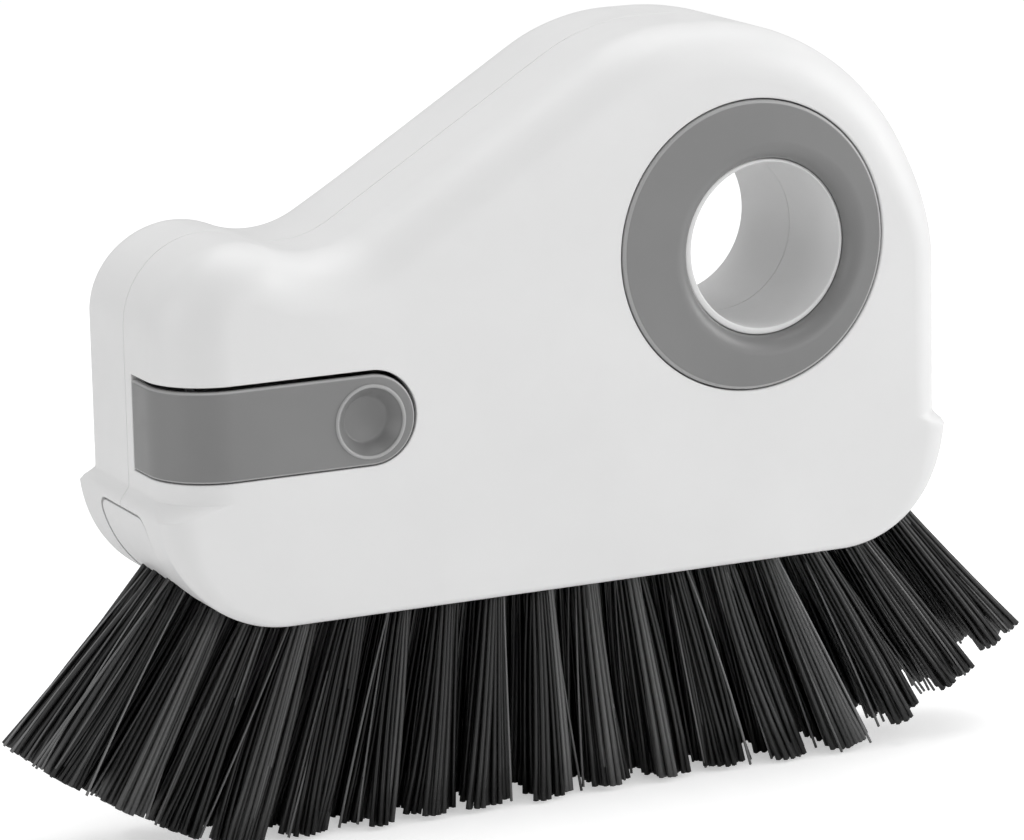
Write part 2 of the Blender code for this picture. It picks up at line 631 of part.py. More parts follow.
def brush_head(finish_material):
    """The white block that carries the tufts, with its notch for the latch and its tongue."""
    radius = HULL_RADIUS - HEAD_INSET
    top_angle = math.asin((HEAD_TOP - HULL_Z) / radius)
    right = arc((HEAD_FLAT, HULL_Z), radius, -math.pi / 2 + END_ANGLE, top_angle)
    right = [(x, z) for x, z, _, _ in right]
    under = head_curve(HEAD_INSET + BACKING + CLEARANCE)
    left = [(-x, z) for x, z in reversed(right)]
    outline = under + right + left
    half = HEAD_WIDTH / 2
    head = prism("brush_head", outline, (-half - PAST, half + PAST))
    profile = head_profile(half, HEAD_TOP, HEAD_CORNER)
    far = END_X + FLARE + PAST
    combine(head, prism("brush_head_profile", profile, (-far, far), along='X'), 'INTERSECT')
    slot = LATCH_WIDTH / 2 + LATCH_SIDE_GAP
    foot = HEAD_TOP - HEAD_LIP_HEIGHT - LATCH_FOOT_HEIGHT - 2 * CLEARANCE
    leg_far = LATCH_Y + LATCH_LEG / 2 + LATCH_FOOT + CLEARANCE
    lip = -half + HEAD_LIP_WIDTH
    under_lip = HEAD_TOP - HEAD_LIP_HEIGHT
    notch = [(lip, HEAD_TOP + PAST), (lip, under_lip), (-half - PAST, under_lip),
             (-half - PAST, foot), (leg_far, foot), (leg_far, HEAD_TOP + PAST)]
    cut(head, prism("brush_head_notch", notch, (LATCH_X - slot, LATCH_X + slot), along='X'))
    wide = TONGUE_WIDTH / 2
    rise = WEB_HIGH + CLEARANCE
    stem = (TONGUE_X, TONGUE_X + TONGUE_THICKNESS)
    tongue = [(stem[0], HEAD_TOP - PAST), (stem[1], HEAD_TOP - PAST), (stem[1], rise),
              (TONGUE_X + TONGUE_LENGTH, rise), (TONGUE_X + TONGUE_LENGTH, rise + TONGUE_THICKNESS),
              (stem[0], rise + TONGUE_THICKNESS)]
    join(head, prism("brush_head_tongue", tongue, (-wide, wide)))
    return finish(head, finish_material)


def root_place(distance, depth):
    """The point at a distance along the underside and a depth below its surface."""
    radius = HULL_RADIUS - HEAD_INSET - depth
    past = max(abs(distance) - HEAD_FLAT, 0.0) / HULL_RADIUS
    x = math.copysign(min(abs(distance), HEAD_FLAT) + radius * math.sin(past), distance)
    return Vector((x, 0.0, HULL_Z - radius * math.cos(past)))


def backing_slice(name, start, end):
    """A slice of the tuft backing between two distances along the underside."""
    half = HEAD_WIDTH / 2
    places = [start + (end - start) * k / SLICE_STEPS for k in range(SLICE_STEPS + 1)]
    lower = [root_place(s, 0.0) for s in places]
    upper = [root_place(s, BACKING) for s in reversed(places)]
    return prism(name, [(p.x, p.z) for p in lower + upper], (-half, half))


def strand(bm, root, tip):
    """A tapering strand, sunk in its backing and trimmed flat at the tips' plane."""
    turns = [2 * math.pi * k / STRAND_SIDES + STRAND_TURN for k in range(STRAND_SIDES)]
    axis = (tip - root).normalized()
    across = axis.cross(Vector((0.0, 1.0, 0.0))).normalized()
    beside = axis.cross(across)
    rings = []
    for centre, radius in ((root, STRAND_RADIUS), (tip, STRAND_RADIUS * STRAND_TIP)):
        rings.append([centre + across * (radius * math.cos(a)) + beside * (radius * math.sin(a))
                      for a in turns])
    for k in range(STRAND_SIDES):
        low = rings[1][k]
        if low.z < 0.0:
            rings[1][k] = low + (rings[0][k] - low) * (-low.z / (rings[0][k].z - low.z))
    verts = [bm.verts.new(p) for ring in rings for p in ring]
    for k in range(STRAND_SIDES):
        j = (k + 1) % STRAND_SIDES
        bm.faces.new((verts[k], verts[j], verts[STRAND_SIDES + j], verts[STRAND_SIDES + k]))
    bm.faces.new(verts[:STRAND_SIDES])
    bm.faces.new(verts[STRAND_SIDES:])


def trim_height(x):
    """Height of the trimmed tips at x: flat in the middle and rising past the ends."""
    past = max(abs(x) - (END_X - TRIM_INSET), 0.0) / TRIM_SCALE
    return TRIM_SLOPE * TRIM_SCALE * past ** TRIM_POWER


def strand_tip(root, direction, extra):
    """Where a strand from root ends, a little past the trimmed surface."""
    length = BRISTLE_LENGTH
    for _ in range(TRIM_PASSES):
        reached = root + direction * length
        length -= (reached.z - trim_height(reached.x) + extra) / direction.z
    return root + direction * length


def tuft(bm, distance, row, rng):
    """One tuft of strands that fans out from its root."""
    lean = math.copysign(FAN_ANGLE * (abs(distance) / HALF_RUN) ** FAN_POWER, distance)
    splay = ROW_SPLAY * row
    along = Vector((math.sin(lean), math.sin(splay), -math.cos(lean))).normalized()
    twist = rng.uniform(0.0, math.pi)
    for k in range(TUFT_STRANDS):
        angle = twist + 2 * math.pi * k / (TUFT_STRANDS - 1)
        reach = 0.0 if k == TUFT_STRANDS - 1 else TUFT_RADIUS
        run, over = reach * math.cos(angle), reach * math.sin(angle)
        root = root_place(distance + run, BACKING / 2) + Vector((0.0, ROW_PITCH * row + over, 0.0))
        spread = Vector((math.cos(lean), 0.0, math.sin(lean))) * (run * (TUFT_SPREAD - 1.0))
        spread.y = over * (ROW_SPREAD - 1.0)
        direction = (along * BRISTLE_LENGTH + spread).normalized()
        strand(bm, root, strand_tip(root, direction, STRAND_TRIM + rng.uniform(0.0, STRAND_VARIATION)))


def column_place(column):
    """Distance of a column of tufts along the underside."""
    reach = HALF_RUN - END_MARGIN - TUFT_RADIUS
    return -reach + 2 * reach * column / (COLUMNS - 1)


def bristle_section(index, finish_material):
    """A run of tufts, fused to its slice of the backing, which ends midway between columns."""
    rng = random.Random(index)
    first, last = index * COLUMNS // SECTIONS, (index + 1) * COLUMNS // SECTIONS
    run = HALF_RUN - END_MARGIN / 2
    start = max(column_place(first - 0.5), -run) + CLEARANCE / 2
    end = min(column_place(last - 0.5), run) - CLEARANCE / 2
    section = backing_slice(f"bristles_{index + 1}", start, end)
    bm = bmesh.new()
    for column in range(first, last):
        for row in range(ROWS):
            tuft(bm, column_place(column), row - (ROWS - 1) / 2, rng)
    join(section, new_object(f"bristles_{index + 1}_strands", bm))
    return finish(section, finish_material)


def clear_scene():
    """Removes what the scene holds."""
    for item in list(bpy.data.objects):
        bpy.data.objects.remove(item, do_unlink=True)


def build():
    """Makes every sub-part and hangs the moving ones on the lever's axis."""
    white = material("white_plastic", (0.80, 0.80, 0.80), 0.42)
    inner_white = material("head_plastic", (0.79, 0.79, 0.79), 0.5)
    grey = material("grey_plastic", (0.22, 0.22, 0.22), 0.5)
    black = material("bristle_nylon", (0.012, 0.012, 0.012), 0.45)
    steel = material("pin_steel", (0.56, 0.56, 0.58), 0.3, 1.0)
    front_shell(white)
    rear_shell(white)
    trim_ring("front_ring", -1.0, grey)
    trim_ring("rear_ring", 1.0, grey)
    lever = release_lever(grey)
    lever_pin(steel)
    spring = lever_spring(steel)
    brush_head(inner_white)
    for index in range(SECTIONS):
        bristle_section(index, black)
    axis = bpy.data.objects.new("lever_axis", None)
    axis.location = (PIVOT_X, PIVOT_Y, (LEVER_BOTTOM + LEVER_TOP) / 2)
    PARTS.objects.link(axis)
    bpy.context.view_layer.update()
    for moving in (lever, spring):
        moving.parent = axis
        moving.matrix_parent_inverse = axis.matrix_world.inverted()


clear_scene()
PARTS = bpy.data.collections.new("window_cleaning_brush")
CUTTERS = bpy.data.collections.new("cutters")
bpy.context.scene.collection.children.link(PARTS)
bpy.context.scene.collection.children.link(CUTTERS)
build()
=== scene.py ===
import math
import random

import bmesh
import bpy
from mathutils import Matrix, Vector


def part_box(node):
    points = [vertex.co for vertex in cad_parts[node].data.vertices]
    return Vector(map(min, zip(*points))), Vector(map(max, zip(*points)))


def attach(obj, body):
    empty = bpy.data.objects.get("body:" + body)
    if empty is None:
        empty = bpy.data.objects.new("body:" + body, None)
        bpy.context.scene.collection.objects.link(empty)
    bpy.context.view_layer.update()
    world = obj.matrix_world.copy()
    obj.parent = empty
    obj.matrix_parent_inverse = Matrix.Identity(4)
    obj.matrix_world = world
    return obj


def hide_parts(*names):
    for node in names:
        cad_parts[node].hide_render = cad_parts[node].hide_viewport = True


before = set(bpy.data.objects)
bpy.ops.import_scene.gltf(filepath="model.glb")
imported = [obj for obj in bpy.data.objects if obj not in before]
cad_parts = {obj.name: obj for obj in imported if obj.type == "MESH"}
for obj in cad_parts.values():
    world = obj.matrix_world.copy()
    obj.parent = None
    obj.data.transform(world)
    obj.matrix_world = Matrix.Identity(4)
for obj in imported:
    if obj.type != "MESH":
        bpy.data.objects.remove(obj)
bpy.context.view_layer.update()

# Places and sizes that the frame gives, in metres
SHELL_LOW, SHELL_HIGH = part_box("front_shell")
RING_LOW, RING_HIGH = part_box("front_ring")
LEVER_FAR_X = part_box("release_lever")[1].x

FLARE = 0.0016
HALF = -SHELL_LOW.y
END_X = SHELL_HIGH.x - FLARE
BOTTOM = SHELL_LOW.z
HUMP_TOP = SHELL_HIGH.z

# Housing outline
HUMP_FLAT = 0.0035
HUMP_FRONT_RADIUS = 0.033
HUMP_BACK_RADIUS = 0.040
NOSE_HEIGHT = 0.0578
NOSE_RADIUS = 0.0135
NOSE_TURN = math.radians(24)
VALLEY_RADIUS = 0.016
HULL_RADIUS = 0.020
FLARE_TOP_HEIGHT = 0.0203
FLARE_SLOPE_HEIGHT = 0.0025
WALL = 0.0022
BOTTOM_ROUNDING = 0.001
FOOT_ROUNDING = 0.0034
REAR_FOOT_ROUNDING = 0.0016
SIDE_ROUNDING = 0.0055
NOSE_ROUNDING = 0.010
TOP_ROUNDING = 0.008
LEAST_ROUNDING = 0.0005
ROUNDING_MID_HEIGHT = 0.044
ROUNDING_HIGH_HEIGHT = 0.064

# Parting line of the two shells, and the lip and step behind it
SEAM_GAP = 0.00006
SEAM_EDGE = 0.00012
BORE_SEAM = 0.00005
SEAM_ROOT = SEAM_GAP * 2
SEAM_DEPTH = 0.0008
SEAM_STEP = 0.00005
SEAM_LIP = 0.0010
SEAM_LIP_REACH = 0.0015
SEAM_LIP_FOOT = WALL * 0.9

# Finger hole and its trim rings
HOLE_X = END_X - 0.0306
HOLE_Z = BOTTOM + 0.0496
HOLE_RADIUS = 0.0130
COLLAR_RADIUS = HOLE_RADIUS + 0.0008
COLLAR_X = HOLE_X - 0.0003
COLLAR_Z = HOLE_Z - 0.0002
LIP_RECESS = 0.0023
LIP_EDGE = 0.00025
RING_X = (RING_LOW.x + RING_HIGH.x) / 2
RING_Z = (RING_LOW.z + RING_HIGH.z) / 2
RING_RADIUS = (RING_HIGH.x - RING_LOW.x) / 2
RING_INNER = COLLAR_RADIUS + 0.00007
RING_THICKNESS = 0.0034
RING_ROUNDING = 0.003
RING_EDGE = 0.0007
RING_PROUD = 0.0003
RING_SEAT_WALL = 0.0018
RECESS_EDGE = 0.0003
FIT = 0.0002

# Lever
LEVER_BOTTOM = BOTTOM + 0.0233
LEVER_TOP = LEVER_BOTTOM + 0.0138
STOP_LIP = 0.0016
STOP_THICKNESS = 0.0012
STOP_GAP = 0.0003
STOP_LENGTH = 0.0145
LEVER_END_X = LEVER_FAR_X - STOP_LIP
LEVER_THICKNESS = 0.0028
LEVER_RIM = 0.0008
LEVER_RIM_STEP = 0.0012
LEVER_RIM_SLOPE = 0.0002
LEVER_PROUD = 0.00015
LEVER_EDGE = 0.0005
OPENING_EDGE = 0.00015
LEVER_LOW_GAP = 0.0002
LEVER_TOP_GAP = 0.0007
LEVER_END_GAP = 0.00037
LEVER_MARGIN = 0.0025
LEVER_START_GAP = 0.0003
LEVER_PAST_BEND = 0.001
DISH_X = LEVER_END_X - (LEVER_TOP - LEVER_BOTTOM) / 2 - 0.0004
DISH_Z = (LEVER_TOP + LEVER_BOTTOM) / 2 - 0.0002
DISH_RADIUS = 0.0052
DISH_FLOOR = 0.0035
DISH_DEPTH = 0.0021
DISH_BOWL = 0.0004
DISH_EDGE = 0.00025
DISH_FOOT = 0.0007
DISH_BEAD = 0.0003
DISH_BEAD_LOW = DISH_BEAD / 10

# Brush head
HEAD_WIDTH = 0.0178
HEAD_FIT = 0.00042
HEAD_TOP = BOTTOM + 0.0168
HEAD_CORNER = 0.0022
HEAD_INSET = 0.0001
HEAD_FLARE = 0.0016
HEAD_FLAT = END_X - HULL_RADIUS + HEAD_FLARE
WEB = 0.0020
WEB_GAP = 0.0005
HULL_Z = BOTTOM + HULL_RADIUS

# Tufts: their columns and rows on the head, and the fan that they make
COLUMNS = 17
ROWS = 3
ROW_PITCH = 0.0048
SECTIONS = 12
END_ANGLE = math.radians(49.7)
END_MARGIN = 0.0008
HALF_RUN = HEAD_FLAT + HULL_RADIUS * END_ANGLE
BRISTLE_LENGTH = BOTTOM
FAN_ANGLE = math.radians(39)
RIGHT_FAN_ANGLE = math.radians(40.5)
FAN_POWER = 1.12
ROW_SPLAY = math.radians(4)
LEAN_VARIATION = 0.012
ROOT_RADIUS = 0.0018
TUFT_RADIUS = 0.0021
TUFT_SPREAD = 2.1
ROW_SPREAD = 1.7
TUFT_VARIATION = 0.0005
FIRST_SEED = 100

# Locks of a tuft, the strands of a lock and the loose strands between them
LOCKS = 8
LOCK_RADIUS = 0.0006
LOCK_WANDER = 0.0008
LOCK_VARIATION = 0.00025
LOCK_TURN = 0.2
SUNFLOWER = math.pi * (3.0 - math.sqrt(5.0))
STRANDS = 6
STRAND_WANDER = 0.00015
STRAND_RADIUS = 0.00034
STRAND_RADIUS_RANGE = (0.85, 1.1)
STRAND_SWELL = 0.45
STRAND_SIDES = 4
STRAND_TURN = 0.4
STRAND_SINK = 0.0008
STRAND_BEND = 0.0011
LOCK_BEND = STRAND_BEND / 3
LOOSE_STRANDS = 8
LOOSE_RADIUS = 0.00015
LOOSE_WANDER = 0.0024
LOOSE_REACH = 0.9
LOOSE_BEND = STRAND_BEND / 2
TIP_VARIATION = 0.0001

# Tones of the strands, from 0 for the darkest to 1 for the lightest
TONE_POWER = 2.5
# How much darker the left side of each tuft is painted: painted shade, as if lit from the right
TUFT_SIDE_PAINTED_SHADE = 0.8
STRAND_TONES = (0.8, 1.0)
LOOSE_TONES = (0.3, 1.0)

# Trimmed tips
TRIM_INSET = 0.0135
TRIM_SLOPE = 0.5
TRIM_POWER = 1.4
TRIM_SCALE = 0.033
TRIM_PASSES = 6

# Steps and sides of curves, and the sharpest fold that is shaded smooth
ARC_STEP = math.radians(2)
RUN_STEP = 0.0015
UPRIGHT_STEP = 0.0005
TOUCHING = RUN_STEP / 10
ROUNDING_STEPS = 14
FILLET_STEPS = 4
SEAM_EDGE_STEPS = 4
RING_EDGE_STEPS = 8
RING_ROUNDING_STEPS = 14
LEVER_EDGE_STEPS = 6
LEVER_BEND_STEPS = 30
LEVER_FACE_STEPS = 6
LEVER_END_STEPS = 32
DISH_EDGE_STEPS = 6
DISH_BOWL_STEPS = 12
DISH_SIDES = 96
DISH_BEAD_STEPS = 12
HEAD_CORNER_STEPS = 8
STRAND_STEPS = 6
ROUND_SIDES = 144
SMOOTH_ANGLE = math.radians(35)

# How far a cutter reaches past the face that it cuts
PAST = 0.002

# Surfaces: tones, roughness and the scales of the noise, in cycles a metre
WHITE_TONES = ((0.79, 0.79, 0.79), (0.82, 0.82, 0.82))
WHITE_ROUGHNESS = (0.36, 0.46)
HEAD_TONES = ((0.78, 0.78, 0.78), (0.81, 0.81, 0.81))
HEAD_ROUGHNESS = (0.38, 0.48)
WHITE_GRAIN = 0.000004
GREY_TONES = ((0.21, 0.21, 0.21), (0.23, 0.23, 0.23))
GREY_ROUGHNESS = (0.31, 0.37)
GREY_GRAIN = 0.0000035
# Paler colour of the marked rims of the grey parts: a painted highlight where the rounded edges catch the
# light
GREY_RIM_HIGHLIGHT = (0.4, 0.4, 0.4)
BLACK_TONES = ((0.005, 0.005, 0.005), (0.22, 0.22, 0.22))
BLACK_ROUGHNESS = (0.28, 0.45)
STEEL_TONES = ((0.50, 0.50, 0.52), (0.62, 0.62, 0.64))
STEEL_ROUGHNESS = (0.22, 0.38)
DRIFT_SCALE = 45.0
SHINE_SCALE = 260.0
GRAIN_SCALE = 2800.0
STREAK_SCALE = 900.0
LINE_SCALE = 3000.0
STREAK_STRETCH = (1.0, 1.0, 0.25)
LINE_STRETCH = (1.0, 1.0, 0.1)
NOISE_MIDDLE = (0.35, 0.65)
NOISE_WIDE = (0.3, 0.7)
SOFT_EDGE = 0.00022
PLASTIC_SPECULAR = 0.45

# Studio: each lamp has a name, a place, a size and a power
FLOOR_SIZE = 3.0
FLOOR_DROP = 0.0002
FLOOR_TONE = 0.86
FLOOR_ROUGHNESS = 0.9
FLOOR_GLOW = 0.45
AMBIENT = 0.42
LAMP_TARGET = (0.0, 0.0, 0.06)
LAMPS = (("right", (1.0, -0.35, 0.35), 0.6, 3.25),
         ("key", (0.85, -0.6, 0.55), 0.7, 2.1),
         ("side", (-1.0, -0.1, 0.3), 0.7, 2.6),
         ("top", (0.1, 0.1, 1.0), 0.8, 4.1),
         ("back", (0.0, 0.7, 0.75), 0.7, 0.65),
         ("low", (0.35, -1.0, 0.08), 0.6, 1.9))

# Camera, fitted to the photograph, which is 1024 pixels wide
CAMERA_PLACE = (-0.3245, -0.6801, 0.2281)
CAMERA_TURN = math.radians(25.404)
CAMERA_DIP = math.radians(12.662)
CAMERA_ROLL = math.radians(-1.174)
FOCAL_PIXELS = 4958
PHOTO_WIDTH = 1024
SENSOR = 36.0


def smooth_step(value, low, high):
    """0 below low, 1 above high and a smooth rise between them."""
    t = min(max((value - low) / (high - low), 0.0), 1.0)
    return t * t * (3.0 - 2.0 * t)


def arc(centre, radius, start, end):
    """Points of an arc in the XZ plane with the outward normal of a convex arc at each."""
    count = max(2, round(abs(end - start) / ARC_STEP))
    angles = [start + (end - start) * k / count for k in range(count + 1)]
    return [(centre[0] + radius * math.cos(a), centre[1] + radius * math.sin(a),
             math.cos(a), math.sin(a)) for a in angles]


def run(first, last):
    """Points between two outline points that share a normal, ends left out."""
    step = UPRIGHT_STEP if abs(first[2]) > abs(first[3]) else RUN_STEP
    count = max(1, round(math.hypot(last[0] - first[0], last[1] - first[1]) / step))
    return [(first[0] + (last[0] - first[0]) * k / count, first[1] + (last[1] - first[1]) * k / count,
             first[2], first[3]) for k in range(1, count)]


def slope_places():
    """Centres of the hump's front arc and of the valley's arc, and the slope angle between them."""
    front = (END_X - HUMP_BACK_RADIUS - HUMP_FLAT, HUMP_TOP - HUMP_FRONT_RADIUS)
    nose = (-END_X + NOSE_RADIUS, BOTTOM + NOSE_HEIGHT - NOSE_RADIUS)
    span = NOSE_RADIUS + VALLEY_RADIUS
    valley = (nose[0] + span * math.sin(NOSE_TURN), nose[1] + span * math.cos(NOSE_TURN))
    across, up = valley[0] - front[0], valley[1] - front[1]
    lean = math.acos((HUMP_FRONT_RADIUS + VALLEY_RADIUS) / math.hypot(across, up))
    return front, valley, nose, math.atan2(up, across) - lean - math.pi / 2


def housing_outline(inset=0.0):
    """The housing's outline, counter-clockwise from the bottom's right end, with outward normals."""
    down, up, left = -math.pi / 2, math.pi / 2, math.pi
    centre_x = END_X - HULL_RADIUS
    back = (END_X - HUMP_BACK_RADIUS, HUMP_TOP - HUMP_BACK_RADIUS)
    front, valley, nose, slope = slope_places()
    hollow = [(x, z, -nx, -nz) for x, z, nx, nz in
              arc(valley, VALLEY_RADIUS + inset, down + slope, down - NOSE_TURN)]
    stretches = [arc((centre_x, HULL_Z), HULL_RADIUS - inset, down, 0.0),
                 arc(back, HUMP_BACK_RADIUS - inset, 0.0, up),
                 arc(front, HUMP_FRONT_RADIUS - inset, up, up + slope),
                 hollow,
                 arc(nose, NOSE_RADIUS - inset, up - NOSE_TURN, left),
                 arc((-centre_x, HULL_Z), HULL_RADIUS - inset, left, left + math.pi / 2)]
    points = []
    for stretch in stretches:
        if points:
            gap = math.hypot(points[-1][0] - stretch[0][0], points[-1][1] - stretch[0][1])
            if gap < TOUCHING:
                stretch = stretch[1:]
            else:
                points += run(points[-1], stretch[0])
        points += stretch
    return points + run(points[-1], points[0])


def edge_rounding(x, z, side):
    """Radius of the rounding between the outline's point x, z and the flat face of one side."""
    end = NOSE_ROUNDING if side < 0.0 and x < 0.0 else SIDE_ROUNDING
    base = FOOT_ROUNDING if side < 0.0 else REAR_FOOT_ROUNDING
    height = z - BOTTOM
    crest = FLARE_TOP_HEIGHT - FLARE_SLOPE_HEIGHT
    low = smooth_step(height, 0.0, crest)
    middle = smooth_step(height, crest, FLARE_TOP_HEIGHT)
    high = smooth_step(height, ROUNDING_MID_HEIGHT, ROUNDING_HIGH_HEIGHT)
    return (BOTTOM_ROUNDING + (base - BOTTOM_ROUNDING) * low
            + (end - base) * middle + (TOP_ROUNDING - end) * high)


def flare_at(z):
    """How far the ends of the housing stand out at height z."""
    top = BOTTOM + FLARE_TOP_HEIGHT
    return FLARE * smooth_step(top - z, 0.0, FLARE_SLOPE_HEIGHT)


def half_section(outline, side, inset, turn, flared):
    """One section of a half shell: the outline as it stands at an angle into its rounding."""
    ring = []
    for x, z, nx, nz in outline:
        rounding = max(edge_rounding(x, z, side) - inset, LEAST_ROUNDING)
        shift = rounding * (1.0 - math.cos(turn))
        depth = HALF - inset - rounding + rounding * math.sin(turn)
        flare = math.copysign(flare_at(z), x) * math.cos(turn) if flared else 0.0
        ring.append(Vector((x - nx * shift + flare, side * depth, z - nz * shift)))
    return ring


def new_object(name, bm):
    """An object from a bmesh whose faces all point out."""
    bmesh.ops.recalc_face_normals(bm, faces=bm.faces)
    mesh = bpy.data.meshes.new(name)
    bm.to_mesh(mesh)
    bm.free()
    result = bpy.data.objects.new(name, mesh)
    bpy.context.scene.collection.objects.link(result)
    return result


def bridge(bm, levels):
    """Four-sided faces between each two neighbouring rings of vertices."""
    faces = []
    count = len(levels[0])
    for low, high in zip(levels, levels[1:]):
        for k in range(count):
            j = (k + 1) % count
            faces.append(bm.faces.new((low[k], low[j], high[j], high[k])))
    return faces


def loft(name, rings):
    """A closed solid through rings of points, with a flat cap at each end."""
    bm = bmesh.new()
    levels = [[bm.verts.new(p) for p in ring] for ring in rings]
    bridge(bm, levels)
    bm.faces.new(list(reversed(levels[0])))
    bm.faces.new(levels[-1])
    return new_object(name, bm)


def half_solid(name, side, start, inset=0.0, flared=True, seam_edge=0.0):
    """Half of the housing as a solid, from the plane |y| = start out to the flat face."""
    outline = housing_outline(inset)
    rings = []
    if seam_edge:
        for k in range(SEAM_EDGE_STEPS):
            turn = math.pi / 2 * k / SEAM_EDGE_STEPS
            ring = half_section([(x - nx * seam_edge * (1 - math.sin(turn)),
                                  z - nz * seam_edge * (1 - math.sin(turn)), nx, nz)
                                 for x, z, nx, nz in outline], side, inset, 0.0, flared)
            for point in ring:
                point.y = side * (start + seam_edge * (1 - math.cos(turn)))
            rings.append(ring)
    first = half_section(outline, side, inset, 0.0, flared)
    for point in first:
        point.y = side * (start + seam_edge)
    rings.append(first)
    turns = [math.pi / 2 * k / ROUNDING_STEPS for k in range(ROUNDING_STEPS + 1)]
    return loft(name, rings + [half_section(outline, side, inset, t, flared) for t in turns])


def box(name, x, y, z):
    """A box between the pairs x, y and z."""
    bm = bmesh.new()
    centre = Vector(((x[0] + x[1]) / 2, (y[0] + y[1]) / 2, (z[0] + z[1]) / 2))
    size = Matrix.Diagonal((abs(x[1] - x[0]), abs(y[1] - y[0]), abs(z[1] - z[0]), 1.0))
    bmesh.ops.create_cube(bm, size=1.0, matrix=Matrix.Translation(centre) @ size)
    return new_object(name, bm)


def circle(centre, y, radius, sides=ROUND_SIDES):
    """A circle round an axis along Y through the x, z pair centre."""
    angles = [2.0 * math.pi * k / sides for k in range(sides)]
    return [Vector((centre[0] + radius * math.cos(a), y, centre[1] + radius * math.sin(a)))
            for a in angles]


def quarter(centre, radius, start, end, steps=FILLET_STEPS):
    """Points of an arc of a profile, from angle start to end."""
    return [(centre[0] + radius * math.cos(start + (end - start) * k / steps),
             centre[1] + radius * math.sin(start + (end - start) * k / steps)) for k in range(steps + 1)]


def prism(name, points, span, along='Y'):
    """A flat outline extruded between the pair span along one axis."""
    place = {'X': lambda p, d: Vector((d, p[0], p[1])),
             'Y': lambda p, d: Vector((p[0], d, p[1]))}[along]
    return loft(name, [[place(p, depth) for p in points] for depth in span])


def combine(target, tool, operation):
    """Applies a Boolean to target and removes the tool."""
    modifier = target.modifiers.new("boolean", 'BOOLEAN')
    modifier.operation = operation
    modifier.object = tool
    modifier.solver = 'EXACT'
    bpy.context.view_layer.update()
    graph = bpy.context.evaluated_depsgraph_get()
    mesh = bpy.data.meshes.new_from_object(target.evaluated_get(graph))
    target.modifiers.clear()
    old = target.data
    target.data = mesh
    mesh.name = target.name
    bpy.data.meshes.remove(old)
    used = tool.data
    bpy.data.objects.remove(tool)
    bpy.data.meshes.remove(used)


def dress(piece, material, body, slot, *nodes):
    """Shades a finished piece, gives it its material and ties it to the frame."""
    piece.data.materials.clear()
    piece.data.materials.append(material)
    piece.data.shade_smooth()
    piece.data.set_sharp_from_angle(angle=SMOOTH_ANGLE)
    weighted = piece.modifiers.new("weighted_normals", 'WEIGHTED_NORMAL')
    weighted.keep_sharp = True
    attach(piece, body)
    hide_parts(*nodes)


def hole_cutter(name, side):
    """The ring's recess, the rounded lip of the tube in it and the bore, as one cutter."""
    face = HALF
    floor = face - RING_THICKNESS - FIT
    lip = face - LIP_RECESS
    outer = RING_RADIUS + FIT
    collar = COLLAR_RADIUS
    ring, hole, tube = (RING_X, RING_Z), (HOLE_X, HOLE_Z), (COLLAR_X, COLLAR_Z)
    profile = [(ring, face + PAST, outer + RECESS_EDGE)]
    for r, y in quarter((outer + RECESS_EDGE, face - RECESS_EDGE), RECESS_EDGE, math.pi / 2, math.pi):
        profile.append((ring, y, r))
    profile.append((ring, floor, outer))
    profile.append((tube, floor, collar))
    for r, y in quarter((collar - LIP_EDGE, lip - LIP_EDGE), LIP_EDGE, 0.0, math.pi / 2):
        profile.append((tube, y, r))
    for r, y in quarter((HOLE_RADIUS + LIP_EDGE, lip - LIP_EDGE), LIP_EDGE, math.pi / 2, math.pi):
        profile.append((hole, y, r))
    profile.append((hole, SEAM_GAP + BORE_SEAM, HOLE_RADIUS))
    profile.append((hole, SEAM_GAP - BORE_SEAM, HOLE_RADIUS + 2 * BORE_SEAM))
    profile.append((hole, -PAST, HOLE_RADIUS + 2 * BORE_SEAM))
    return loft(name, [circle(centre, side * y, r) for centre, y, r in profile])


def disc_solid(name, centre, start, end, radius):
    """A disc round an axis along Y between two depths."""
    return loft(name, [circle(centre, start, radius), circle(centre, end, radius)])


def head_profile(half, top, radius):
    """A YZ profile from below the housing up to a flat top with rounded corners."""
    corner = quarter((half - radius, top - radius), radius, 0.0, math.pi / 2, HEAD_CORNER_STEPS)
    right = [(half, BOTTOM - PAST)] + corner
    return right + [(-y, z) for y, z in reversed(right)]


def outline_prism(name, inset, span):
    """The housing's outline, drawn in by inset, as a solid between two depths."""
    return prism(name, [(x, z) for x, z, _, _ in housing_outline(inset)], span)


def seam_lip(side):
    """The lip that laps inside the other half's wall, and the step that narrows the gap behind the line."""
    lip = outline_prism("lip", WALL + FIT, (-side * SEAM_LIP_REACH, side * SEAM_LIP_REACH))
    foot = outline_prism("lip_foot", SEAM_LIP_FOOT, (side * SEAM_ROOT, side * SEAM_LIP_REACH))
    combine(lip, foot, 'UNION')
    combine(lip, outline_prism("lip_room", WALL + FIT + SEAM_LIP, (-PAST, PAST)), 'DIFFERENCE')
    combine(lip, box("lip_gap", (-END_X - PAST, -END_X + NOSE_ROUNDING), (-PAST, PAST),
                     (LEVER_BOTTOM - SEAM_LIP, LEVER_TOP + SEAM_LIP)), 'DIFFERENCE')
    step = outline_prism("lip_step", SEAM_DEPTH, (-side * SEAM_STEP, side * SEAM_ROOT))
    combine(step, outline_prism("step_room", WALL, (-PAST, PAST)), 'DIFFERENCE')
    combine(lip, step, 'UNION')
    return lip


